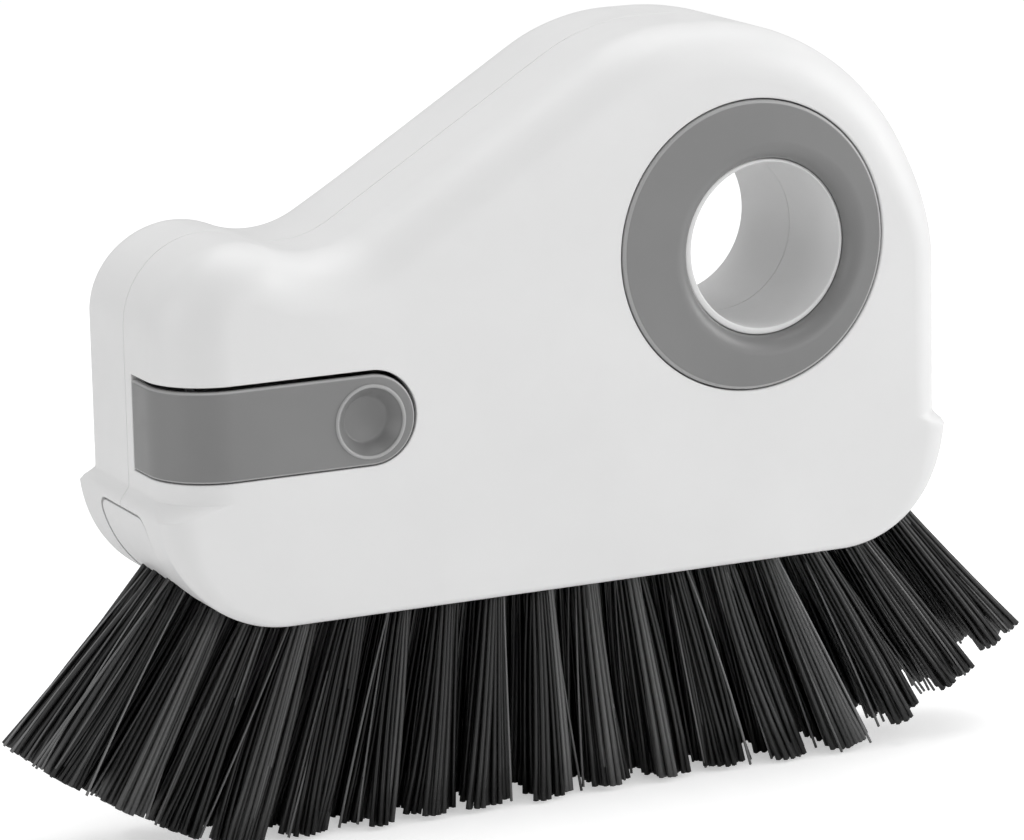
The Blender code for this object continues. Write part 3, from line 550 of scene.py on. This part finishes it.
def shell(name, side):
    """One hollow half of the housing with its bore, recess and head channel. The rear one has the lip."""
    piece = half_solid(name, side, SEAM_GAP, seam_edge=SEAM_EDGE)
    combine(piece, half_solid(name + "_cavity", side, -PAST, WALL, flared=False), 'DIFFERENCE')
    skin = side * (HALF - WALL / 2)
    seat = side * (HALF - RING_THICKNESS - FIT - RING_SEAT_WALL)
    seat_disc = disc_solid(name + "_seat", (RING_X, RING_Z), seat, skin, RING_RADIUS + FIT + WALL)
    combine(piece, seat_disc, 'UNION')
    tube = disc_solid(name + "_tube", (HOLE_X, HOLE_Z), side * SEAM_GAP, skin, HOLE_RADIUS + WALL)
    combine(piece, tube, 'UNION')
    combine(piece, hole_cutter(name + "_hole", side), 'DIFFERENCE')
    far = END_X + FLARE + PAST
    web = half_solid(name + "_web", side, SEAM_GAP, WALL / 2, flared=False)
    web_low = HEAD_TOP + WEB_GAP
    combine(web, box(name + "_slab", (-far, far), (-side * PAST, side * (HALF + PAST)),
                     (BOTTOM + WALL / 2, web_low + WEB)), 'INTERSECT')
    combine(piece, web, 'UNION')
    if side > 0:
        combine(piece, seam_lip(side), 'UNION')
    profile = head_profile(HEAD_WIDTH / 2 + HEAD_FIT, HEAD_TOP + HEAD_FIT, HEAD_CORNER + HEAD_FIT)
    combine(piece, prism(name + "_channel", profile, (-far, far), along='X'), 'DIFFERENCE')
    return piece


def wrap(distance, depth):
    """Place in XY of a point at a distance along the lever's outer face, and a depth behind it.

    The distance is x on the flat face, and goes on round the corner to the seam.
    """
    corner = -END_X + NOSE_ROUNDING
    turn = (corner - distance) / NOSE_ROUNDING
    if turn <= 0.0:
        return distance, -HALF + depth
    turned = min(turn, math.pi / 2)
    past = (turn - turned) * NOSE_ROUNDING
    radius = NOSE_ROUNDING - depth
    return corner - radius * math.sin(turned), -HALF + NOSE_ROUNDING - radius * math.cos(turned) + past


def wrapped_start(y):
    """The distance along the lever's face at which it reaches y on the nose's side."""
    return -END_X + NOSE_ROUNDING - (y + HALF - NOSE_ROUNDING + math.pi / 2 * NOSE_ROUNDING)


def lever_rings(levels, start_y):
    """Lever outlines, bent round the nose.

    Each level is a depth and the gaps at the low, high, end and start edges.
    """
    corner = -END_X + NOSE_ROUNDING
    bend_end = corner + LEVER_PAST_BEND
    rings = []
    for depth, low_gap, high_gap, end_gap, start_gap in levels:
        low, high = LEVER_BOTTOM - low_gap, LEVER_TOP + high_gap
        radius = (high - low) / 2
        centre_x = LEVER_END_X + end_gap - radius
        start = wrapped_start(start_y + start_gap)
        places = [start + (bend_end - start) * k / LEVER_BEND_STEPS for k in range(LEVER_BEND_STEPS + 1)]
        places += [bend_end + (centre_x - bend_end) * k / LEVER_FACE_STEPS
                   for k in range(1, LEVER_FACE_STEPS)]
        angles = [math.pi / 2 * k / LEVER_END_STEPS for k in range(LEVER_END_STEPS + 1)]
        ends = [(centre_x + radius * math.sin(a), radius * math.cos(a)) for a in angles]
        columns = [(s, radius) for s in places] + ends
        middle = (low + high) / 2
        under = [(s, middle - half) for s, half in columns]
        over = [(s, middle + half) for s, half in reversed(columns[:-1])]
        rings.append([Vector((*wrap(s, depth), z)) for s, z in under + over])
    return rings


def strip_loft(name, rings, rim=()):
    """A closed solid through bent rings, with each cap made of strips across it.

    The numbers in rim name the rings that are marked as the piece's rim, which its material paints paler as
    a painted highlight.
    """
    bm = bmesh.new()
    highlight_mark = bm.verts.layers.float.new("rim")
    levels = [[bm.verts.new(p) for p in ring] for ring in rings]
    for number in rim:
        for vert in levels[number]:
            vert[highlight_mark] = 1.0
    bridge(bm, levels)
    count = len(levels[0])
    for ring in (levels[0], levels[-1]):
        half = count // 2
        for k in range(half):
            other = count - 1 - k
            if other - 1 == k + 1:
                bm.faces.new((ring[k], ring[k + 1], ring[other]))
            else:
                bm.faces.new((ring[k], ring[k + 1], ring[other - 1], ring[other]))
    return new_object(name, bm)


def lever_opening():
    """The cutter of the lever's opening, flared at the surface into a rounded edge."""
    gaps = (LEVER_LOW_GAP, LEVER_TOP_GAP, LEVER_END_GAP, 0.0)
    levels = [(-PAST / 2, *(g + OPENING_EDGE for g in gaps))]
    for wider, depth in quarter((OPENING_EDGE, OPENING_EDGE), OPENING_EDGE, -math.pi / 2, -math.pi):
        levels.append((depth, *(g + wider for g in gaps)))
    levels.append((WALL + PAST / 2, *gaps))
    return strip_loft("opening", lever_rings(levels, -LEVER_MARGIN))


def dish_cutter():
    """The turned cutter of the dish: rounded rim, sloping wall, soft foot and hollow floor."""
    fall = math.atan2(DISH_DEPTH, DISH_RADIUS - DISH_FLOOR)
    rim = DISH_EDGE * math.tan(fall / 2)
    foot = DISH_FOOT * math.tan(fall / 2)
    rim_centre = (DISH_RADIUS + rim, DISH_EDGE)
    foot_centre = (DISH_FLOOR - foot, DISH_DEPTH - DISH_FOOT)
    profile = [(DISH_RADIUS + rim, -PAST)]
    profile += quarter(rim_centre, DISH_EDGE, -math.pi / 2, -math.pi / 2 - fall, DISH_EDGE_STEPS)
    profile += quarter(foot_centre, DISH_FOOT, math.pi / 2 - fall, math.pi / 2, DISH_EDGE_STEPS)
    for k in range(1, DISH_BOWL_STEPS):
        part = 1.0 - k / DISH_BOWL_STEPS
        profile.append((foot_centre[0] * part, DISH_DEPTH + DISH_BOWL * (1.0 - part ** 2)))
    face = -HALF - LEVER_PROUD
    return loft("dish", [circle((DISH_X, DISH_Z), face + depth, radius, DISH_SIDES)
                         for radius, depth in profile])


def dish_bead():
    """The thin raised bead round the dish."""
    face = -HALF - LEVER_PROUD
    bm = bmesh.new()
    rings = []
    for k in range(DISH_BEAD_STEPS):
        turn = 2.0 * math.pi * k / DISH_BEAD_STEPS
        radius = DISH_RADIUS + DISH_EDGE + DISH_BEAD * math.cos(turn)
        y = face + DISH_BEAD * math.sin(turn)
        rings.append([bm.verts.new(p) for p in circle((DISH_X, DISH_Z), y, radius, DISH_SIDES)])
    bridge(bm, rings + rings[:1])
    return new_object("bead", bm)


def mark_bead_highlight(piece):
    """Marks the bead as part of the rim that gets a painted highlight, and nothing else round the dish."""
    face = -HALF - LEVER_PROUD
    highlight_mark = piece.data.attributes["rim"].data
    for vert in piece.data.vertices:
        x, y, z = vert.co
        if math.hypot(x - DISH_X, z - DISH_Z) < DISH_RADIUS + 2 * DISH_BEAD:
            highlight_mark[vert.index].value = float(y < face - DISH_BEAD_LOW)


def lever():
    """The grey lever: a bent plate with rounded edges, a dish and the stop behind the opening."""
    levels = []
    edge = quarter((LEVER_EDGE, LEVER_EDGE), LEVER_EDGE, -math.pi / 2, -math.pi, LEVER_EDGE_STEPS)
    for inward, depth in edge:
        levels.append((depth - LEVER_PROUD, -inward, -inward, -inward, -inward))
    levels.append((LEVER_RIM, 0.0, 0.0, 0.0, 0.0))
    step = -LEVER_RIM_STEP
    levels.append((LEVER_RIM + LEVER_RIM_SLOPE, step, step, step, step))
    levels.append((LEVER_THICKNESS, step, step, step, step))
    rings = lever_rings(levels, -LEVER_MARGIN - LEVER_START_GAP)
    # The rounded edge's rings are marked as rim, for their painted highlight
    piece = strip_loft("lever", rings, range(2, LEVER_EDGE_STEPS + 1))
    low, high = LEVER_BOTTOM - STOP_LIP, LEVER_TOP - LEVER_RIM_STEP
    radius = (high - low) / 2
    centre = (LEVER_END_X + STOP_LIP - radius, (low + high) / 2)
    tip = quarter(centre, radius, -math.pi / 2, math.pi / 2, LEVER_END_STEPS)
    stop_x = LEVER_END_X - STOP_LENGTH
    stop_y = -HALF + WALL + STOP_GAP
    stop = prism("stop", [(stop_x, low)] + tip + [(stop_x, high)], (stop_y, stop_y + STOP_THICKNESS))
    combine(piece, stop, 'UNION')
    combine(piece, dish_cutter(), 'DIFFERENCE')
    combine(piece, dish_bead(), 'UNION')
    mark_bead_highlight(piece)
    return piece


def trim_ring(name, side):
    """The grey ring round the finger hole, set off-centre, rounded down into the hole."""
    back = HALF - RING_THICKNESS
    face = HALF + RING_PROUD
    ring, tube = (RING_X, RING_Z), (COLLAR_X, COLLAR_Z)
    profile = [(ring, back, RING_RADIUS)]
    outer = (RING_RADIUS - RING_EDGE, face - RING_EDGE)
    for r, y in quarter(outer, RING_EDGE, 0.0, math.pi / 2, RING_EDGE_STEPS):
        profile.append((ring, y, r))
    inner = (RING_INNER + RING_ROUNDING, face - RING_ROUNDING)
    for r, y in quarter(inner, RING_ROUNDING, math.pi / 2, math.pi, RING_ROUNDING_STEPS):
        profile.append((tube, y, r))
    profile.append((tube, back, RING_INNER))
    bm = bmesh.new()
    highlight_mark = bm.verts.layers.float.new("rim")
    levels = [[bm.verts.new(p) for p in circle(axis, side * y, r)] for axis, y, r in profile]
    # The outer edge's rounding is marked as rim, for its painted highlight
    for level in levels[1:RING_EDGE_STEPS]:
        for vert in level:
            vert[highlight_mark] = 1.0
    bridge(bm, levels + levels[:1])
    return new_object(name, bm)


def head_block():
    """The white block that the tufts stand in, with its rounded end panels."""
    radius = HULL_RADIUS - HEAD_INSET
    top_angle = math.asin((HEAD_TOP - HULL_Z) / radius)
    right = [(x, z) for x, z, _, _ in arc((HEAD_FLAT, HULL_Z), radius, -math.pi / 2, top_angle)]
    left = [(-x, z) for x, z in reversed(right)]
    half = HEAD_WIDTH / 2
    piece = prism("head_block", right + left, (-half - PAST, half + PAST))
    far = END_X + FLARE + PAST
    profile = head_profile(half, HEAD_TOP, HEAD_CORNER)
    combine(piece, prism("profile", profile, (-far, far), along='X'), 'INTERSECT')
    return piece


def root_place(distance, depth):
    """The point at a distance along the head's underside and a depth inside it."""
    radius = HULL_RADIUS - HEAD_INSET - depth
    past = max(abs(distance) - HEAD_FLAT, 0.0) / HULL_RADIUS
    x = math.copysign(min(abs(distance), HEAD_FLAT) + radius * math.sin(past), distance)
    return Vector((x, 0.0, HULL_Z - radius * math.cos(past)))


def trim_height(x):
    """Height of the trimmed tips at x: flat in the middle and rising past the ends."""
    past = max(abs(x) - (END_X - TRIM_INSET), 0.0) / TRIM_SCALE
    return TRIM_SLOPE * TRIM_SCALE * past ** TRIM_POWER


def strand(bm, shade, root, tip, bend, radius, tone):
    """A four-sided strand from root to tip, bowed sideways by bend."""
    axis = (tip - root).normalized()
    across = axis.cross(Vector((0.0, 1.0, 0.0))).normalized()
    beside = axis.cross(across)
    angles = [STRAND_TURN + 2.0 * math.pi * k / STRAND_SIDES for k in range(STRAND_SIDES)]
    rings = []
    for k in range(STRAND_STEPS + 1):
        t = k / STRAND_STEPS
        centre = root.lerp(tip, t) + bend * (4.0 * t * (1.0 - t))
        size = radius * (1.0 + STRAND_SWELL * t)
        ring = [bm.verts.new(centre + across * (size * math.cos(a)) + beside * (size * math.sin(a)))
                for a in angles]
        for vert in ring:
            vert[shade] = tone
        rings.append(ring)
    for face in bridge(bm, rings):
        face.smooth = True
    bm.faces.new(list(reversed(rings[0])))
    bm.faces.new(rings[-1])


def strand_root(distance, row, across, beside):
    """The point inside the head at which a strand of a tuft starts."""
    root = root_place(distance + across, STRAND_SINK)
    root.y = ROW_PITCH * row + beside
    return root


def trimmed_tip(root, direction, above):
    """The point on a straight line from root at which the strands are cut, a little above the trim."""
    length = BRISTLE_LENGTH
    for _ in range(TRIM_PASSES):
        reached = root + direction * length
        length -= (reached.z - trim_height(reached.x) - above) / direction.z
    return root + direction * length


def tuft(bm, shade, distance, row, rng):
    """One tuft: locks of strands packed in a disc at the root, which spread towards the trimmed tips."""
    fan = FAN_ANGLE if distance < 0.0 else RIGHT_FAN_ANGLE
    lean = math.copysign(fan * (abs(distance) / HALF_RUN) ** FAN_POWER, distance)
    lean += rng.uniform(-LEAN_VARIATION, LEAN_VARIATION)
    splay = ROW_SPLAY * row + rng.uniform(-LEAN_VARIATION, LEAN_VARIATION)
    along = Vector((math.sin(lean), math.sin(splay), -math.cos(lean))).normalized()
    flat = Vector((math.cos(lean), 0.0, math.sin(lean)))
    level = rng.uniform(0.0, TUFT_VARIATION)
    for k in range(LOCKS):
        reach = (TUFT_RADIUS - LOCK_RADIUS) * math.sqrt((k + 0.5) / LOCKS)
        angle = k * SUNFLOWER + rng.uniform(-LOCK_TURN, LOCK_TURN)
        run_part, row_part = reach * math.cos(angle), reach * math.sin(angle)
        wander = Vector((rng.gauss(0.0, 1.0), rng.gauss(0.0, 1.0), 0.0)) * LOCK_WANDER
        bend = Vector((rng.gauss(0.0, 1.0), rng.gauss(0.0, 1.0), 0.0)) * LOCK_BEND
        drop = level + rng.uniform(0.0, LOCK_VARIATION)
        # Painted shade: each lock is darker the further left it stands in its tuft
        left = 0.5 - 0.5 * run_part / TUFT_RADIUS
        tone = rng.random() ** TONE_POWER * (1.0 - TUFT_SIDE_PAINTED_SHADE * left)
        for j in range(STRANDS):
            off = LOCK_RADIUS * math.sqrt((j + 0.5) / STRANDS)
            across = run_part + off * math.cos(j * SUNFLOWER)
            beside = row_part + off * math.sin(j * SUNFLOWER)
            root = strand_root(distance, row, across, beside)
            spread = flat * (across * (TUFT_SPREAD - 1.0)) + wander
            spread.x += rng.gauss(0.0, 1.0) * STRAND_WANDER
            spread.y += beside * (ROW_SPREAD - 1.0)
            direction = (along * BRISTLE_LENGTH + spread).normalized()
            tip = trimmed_tip(root, direction, drop + rng.uniform(0.0, TIP_VARIATION))
            radius = STRAND_RADIUS * rng.uniform(*STRAND_RADIUS_RANGE)
            strand(bm, shade, root, tip, bend, radius, tone * rng.uniform(*STRAND_TONES))
    for _ in range(LOOSE_STRANDS):
        across = TUFT_RADIUS * rng.uniform(-LOOSE_REACH, LOOSE_REACH)
        beside = rng.uniform(-1.0, 1.0) * math.sqrt(TUFT_RADIUS ** 2 - across ** 2)
        root = strand_root(distance, row, across, beside)
        spread = flat * (across * (TUFT_SPREAD - 1.0) + rng.uniform(-1.0, 1.0) * LOOSE_WANDER)
        spread.y += beside * (ROW_SPREAD - 1.0)
        direction = (along * BRISTLE_LENGTH + spread).normalized()
        bend = Vector((rng.uniform(-1.0, 1.0), rng.uniform(-1.0, 1.0), 0.0)) * LOOSE_BEND
        tip = trimmed_tip(root, direction, level)
        strand(bm, shade, root, tip, bend, LOOSE_RADIUS, rng.uniform(*LOOSE_TONES))


def tufts(index):
    """The tufts of one section of the head."""
    rng = random.Random(FIRST_SEED + index)
    bm = bmesh.new()
    shade = bm.verts.layers.float.new("shade")
    reach = HALF_RUN - END_MARGIN - ROOT_RADIUS
    for column in range(index * COLUMNS // SECTIONS, (index + 1) * COLUMNS // SECTIONS):
        distance = -reach + 2 * reach * column / (COLUMNS - 1)
        for row in range(ROWS):
            tuft(bm, shade, distance, row - (ROWS - 1) / 2, rng)
    return new_object(f"tufts_{index + 1}", bm)


class Nodes:
    """Short forms for building a material's node tree."""

    def __init__(self, name):
        self.material = bpy.data.materials.new(name)
        self.material.use_nodes = True
        self.tree = self.material.node_tree
        self.shader = self.tree.nodes["Principled BSDF"]
        self.place = self.add('ShaderNodeTexCoord').outputs["Object"]

    def add(self, kind, **values):
        node = self.tree.nodes.new(kind)
        for key, value in values.items():
            setattr(node, key, value)
        return node

    def link(self, output, target):
        self.tree.links.new(output, target)

    def noise(self, scale, detail, stretch=None):
        """A noise field whose scale is in cycles a metre."""
        node = self.add('ShaderNodeTexNoise')
        node.inputs["Scale"].default_value = scale
        node.inputs["Detail"].default_value = detail
        source = self.place
        if stretch:
            mapping = self.add('ShaderNodeMapping')
            mapping.inputs["Scale"].default_value = stretch
            self.link(source, mapping.inputs["Vector"])
            source = mapping.outputs["Vector"]
        self.link(source, node.inputs["Vector"])
        return node.outputs["Fac"]

    def ramp(self, value, source, target):
        """Maps a field from the pair source to the pair target."""
        node = self.add('ShaderNodeMapRange')
        node.inputs["From Min"].default_value = source[0]
        node.inputs["From Max"].default_value = source[1]
        node.inputs["To Min"].default_value = target[0]
        node.inputs["To Max"].default_value = target[1]
        self.link(value, node.inputs["Value"])
        return node.outputs["Result"]

    def attribute(self, name):
        """The number that each vertex holds under a name."""
        return self.add('ShaderNodeAttribute', attribute_name=name).outputs["Fac"]

    def tint(self, value, tones):
        """A mix of two colours by a field."""
        node = self.add('ShaderNodeMix', data_type='RGBA')
        self.link(value, node.inputs["Factor"])
        node.inputs["A"].default_value = (*tones[0], 1.0)
        node.inputs["B"].default_value = (*tones[1], 1.0)
        return node.outputs["Result"]

    def bump(self, height, distance, normal):
        """Small relief on top of a normal, as high as distance where the field is 1."""
        node = self.add('ShaderNodeBump')
        node.inputs["Distance"].default_value = distance
        node.inputs["Strength"].default_value = 1.0
        self.link(height, node.inputs["Height"])
        self.link(normal, node.inputs["Normal"])
        return node.outputs["Normal"]


def moulded_plastic(name, tones, roughness, grain, rim=None):
    """Satin moulded plastic: faint tone drift, fine grain, softened edges and a paler rim, which is a
    painted highlight.
    """
    nodes = Nodes(name)
    drift = nodes.ramp(nodes.noise(DRIFT_SCALE, 3.0), NOISE_WIDE, (0.0, 1.0))
    colour = nodes.tint(drift, tones)
    # The marked rim is painted paler: a painted highlight
    if rim:
        painted_highlight = nodes.add('ShaderNodeMix', data_type='RGBA')
        nodes.link(nodes.attribute("rim"), painted_highlight.inputs["Factor"])
        nodes.link(colour, painted_highlight.inputs["A"])
        painted_highlight.inputs["B"].default_value = (*rim, 1.0)
        colour = painted_highlight.outputs["Result"]
    nodes.link(colour, nodes.shader.inputs["Base Color"])
    shine = nodes.ramp(nodes.noise(SHINE_SCALE, 3.0), NOISE_MIDDLE, roughness)
    nodes.link(shine, nodes.shader.inputs["Roughness"])
    soft = nodes.add('ShaderNodeBevel', samples=6)
    soft.inputs["Radius"].default_value = SOFT_EDGE
    normal = nodes.bump(nodes.noise(GRAIN_SCALE, 1.0), grain, soft.outputs["Normal"])
    nodes.link(normal, nodes.shader.inputs["Normal"])
    nodes.shader.inputs["Specular IOR Level"].default_value = PLASTIC_SPECULAR
    return nodes.material


def nylon():
    """Black nylon strands, each a little lighter or darker at random, darker on each tuft's left side as
    painted shade, and with faint streaks of gloss.
    """
    nodes = Nodes("black_nylon")
    nodes.link(nodes.tint(nodes.attribute("shade"), BLACK_TONES), nodes.shader.inputs["Base Color"])
    streaks = nodes.noise(STREAK_SCALE, 2.0, STREAK_STRETCH)
    nodes.link(nodes.ramp(streaks, NOISE_MIDDLE, BLACK_ROUGHNESS), nodes.shader.inputs["Roughness"])
    return nodes.material


def steel():
    """Drawn steel wire with fine lines."""
    nodes = Nodes("drawn_steel")
    lines = nodes.noise(LINE_SCALE, 2.0, LINE_STRETCH)
    nodes.link(nodes.tint(lines, STEEL_TONES), nodes.shader.inputs["Base Color"])
    nodes.link(nodes.ramp(lines, NOISE_WIDE, STEEL_ROUGHNESS), nodes.shader.inputs["Roughness"])
    nodes.shader.inputs["Metallic"].default_value = 1.0
    return nodes.material


def seen_by_camera(tree):
    """1 for camera and transmission rays, and 0 for the rest."""
    path = tree.nodes.new('ShaderNodeLightPath')
    both = tree.nodes.new('ShaderNodeMath')
    both.operation = 'MAXIMUM'
    tree.links.new(path.outputs["Is Camera Ray"], both.inputs[0])
    tree.links.new(path.outputs["Is Transmission Ray"], both.inputs[1])
    return both.outputs[0]


def white_world():
    """A world that is white to the camera and lights the object softly."""
    world = bpy.data.worlds.new("studio")
    bpy.context.scene.world = world
    world.use_nodes = True
    tree = world.node_tree
    light = tree.nodes["Background"]
    light.inputs["Strength"].default_value = AMBIENT
    light.inputs["Color"].default_value = (1.0, 1.0, 1.0, 1.0)
    white = tree.nodes.new('ShaderNodeBackground')
    white.inputs["Strength"].default_value = 1.0
    white.inputs["Color"].default_value = (1.0, 1.0, 1.0, 1.0)
    mix = tree.nodes.new('ShaderNodeMixShader')
    tree.links.new(seen_by_camera(tree), mix.inputs["Fac"])
    tree.links.new(light.outputs[0], mix.inputs[1])
    tree.links.new(white.outputs[0], mix.inputs[2])
    tree.links.new(mix.outputs[0], tree.nodes["World Output"].inputs["Surface"])


def studio_floor():
    """A pale floor that fades into the white background and keeps the object's shadow."""
    bm = bmesh.new()
    bmesh.ops.create_grid(bm, x_segments=1, y_segments=1, size=FLOOR_SIZE)
    floor = new_object("floor", bm)
    floor.location.z = -FLOOR_DROP
    material = bpy.data.materials.new("floor")
    material.use_nodes = True
    tree = material.node_tree
    shader = tree.nodes["Principled BSDF"]
    shader.inputs["Base Color"].default_value = (FLOOR_TONE, FLOOR_TONE, FLOOR_TONE, 1.0)
    shader.inputs["Roughness"].default_value = FLOOR_ROUGHNESS
    glow = tree.nodes.new('ShaderNodeEmission')
    glow.inputs["Strength"].default_value = FLOOR_GLOW
    lit = tree.nodes.new('ShaderNodeAddShader')
    mix = tree.nodes.new('ShaderNodeMixShader')
    tree.links.new(shader.outputs[0], lit.inputs[0])
    tree.links.new(glow.outputs[0], lit.inputs[1])
    tree.links.new(seen_by_camera(tree), mix.inputs["Fac"])
    tree.links.new(shader.outputs[0], mix.inputs[1])
    tree.links.new(lit.outputs[0], mix.inputs[2])
    tree.links.new(mix.outputs[0], tree.nodes["Material Output"].inputs["Surface"])
    floor.data.materials.append(material)


def area_light(name, place, size, power):
    """A soft square lamp that points at the middle of the object."""
    lamp = bpy.data.lights.new(name, 'AREA')
    lamp.size = size
    lamp.energy = power
    holder = bpy.data.objects.new(name, lamp)
    holder.location = place
    holder.rotation_euler = (Vector(LAMP_TARGET) - Vector(place)).to_track_quat('-Z', 'Y').to_euler()
    bpy.context.scene.collection.objects.link(holder)


def photo_camera():
    """The camera of the photograph."""
    right = Vector((math.cos(CAMERA_TURN), -math.sin(CAMERA_TURN), 0.0))
    forward = Vector((math.sin(CAMERA_TURN) * math.cos(CAMERA_DIP),
                      math.cos(CAMERA_TURN) * math.cos(CAMERA_DIP), -math.sin(CAMERA_DIP)))
    up = right.cross(forward)
    x = right * math.cos(CAMERA_ROLL) + up * math.sin(CAMERA_ROLL)
    y = up * math.cos(CAMERA_ROLL) - right * math.sin(CAMERA_ROLL)
    data = bpy.data.cameras.new("photo_camera")
    data.sensor_width = SENSOR
    data.lens = FOCAL_PIXELS / PHOTO_WIDTH * SENSOR
    camera = bpy.data.objects.new("photo_camera", data)
    camera.matrix_world = Matrix.Translation(CAMERA_PLACE) @ Matrix((x, y, -forward)).transposed().to_4x4()
    bpy.context.scene.collection.objects.link(camera)
    bpy.context.scene.camera = camera


def build():
    """Makes every piece, the studio and the camera."""
    white = moulded_plastic("white_plastic", WHITE_TONES, WHITE_ROUGHNESS, WHITE_GRAIN)
    head_white = moulded_plastic("head_plastic", HEAD_TONES, HEAD_ROUGHNESS, WHITE_GRAIN)
    grey = moulded_plastic("grey_plastic", GREY_TONES, GREY_ROUGHNESS, GREY_GRAIN, GREY_RIM_HIGHLIGHT)
    black = nylon()
    front = shell("front_half", -1.0)
    combine(front, lever_opening(), 'DIFFERENCE')
    dress(front, white, "housing", "white_plastic", "front_shell")
    dress(shell("rear_half", 1.0), white, "housing", "white_plastic", "rear_shell")
    dress(trim_ring("front_trim", -1.0), grey, "housing", "grey_plastic", "front_ring")
    dress(trim_ring("rear_trim", 1.0), grey, "housing", "grey_plastic", "rear_ring")
    dress(lever(), grey, "lever", "grey_plastic", "release_lever")
    dress(head_block(), head_white, "housing", "head_plastic", "brush_head")
    for index in range(SECTIONS):
        piece = tufts(index)
        piece.data.materials.append(black)
        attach(piece, "housing")
        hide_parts(f"bristles_{index + 1}")
    metal = steel()
    for name in ("lever_pin", "lever_spring"):
        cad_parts[name].data.materials.clear()
        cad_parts[name].data.materials.append(metal)
    studio_floor()
    white_world()
    for name, place, size, power in LAMPS:
        area_light(name, place, size, power)
    photo_camera()
    bpy.context.scene.view_settings.view_transform = 'Standard'


build()
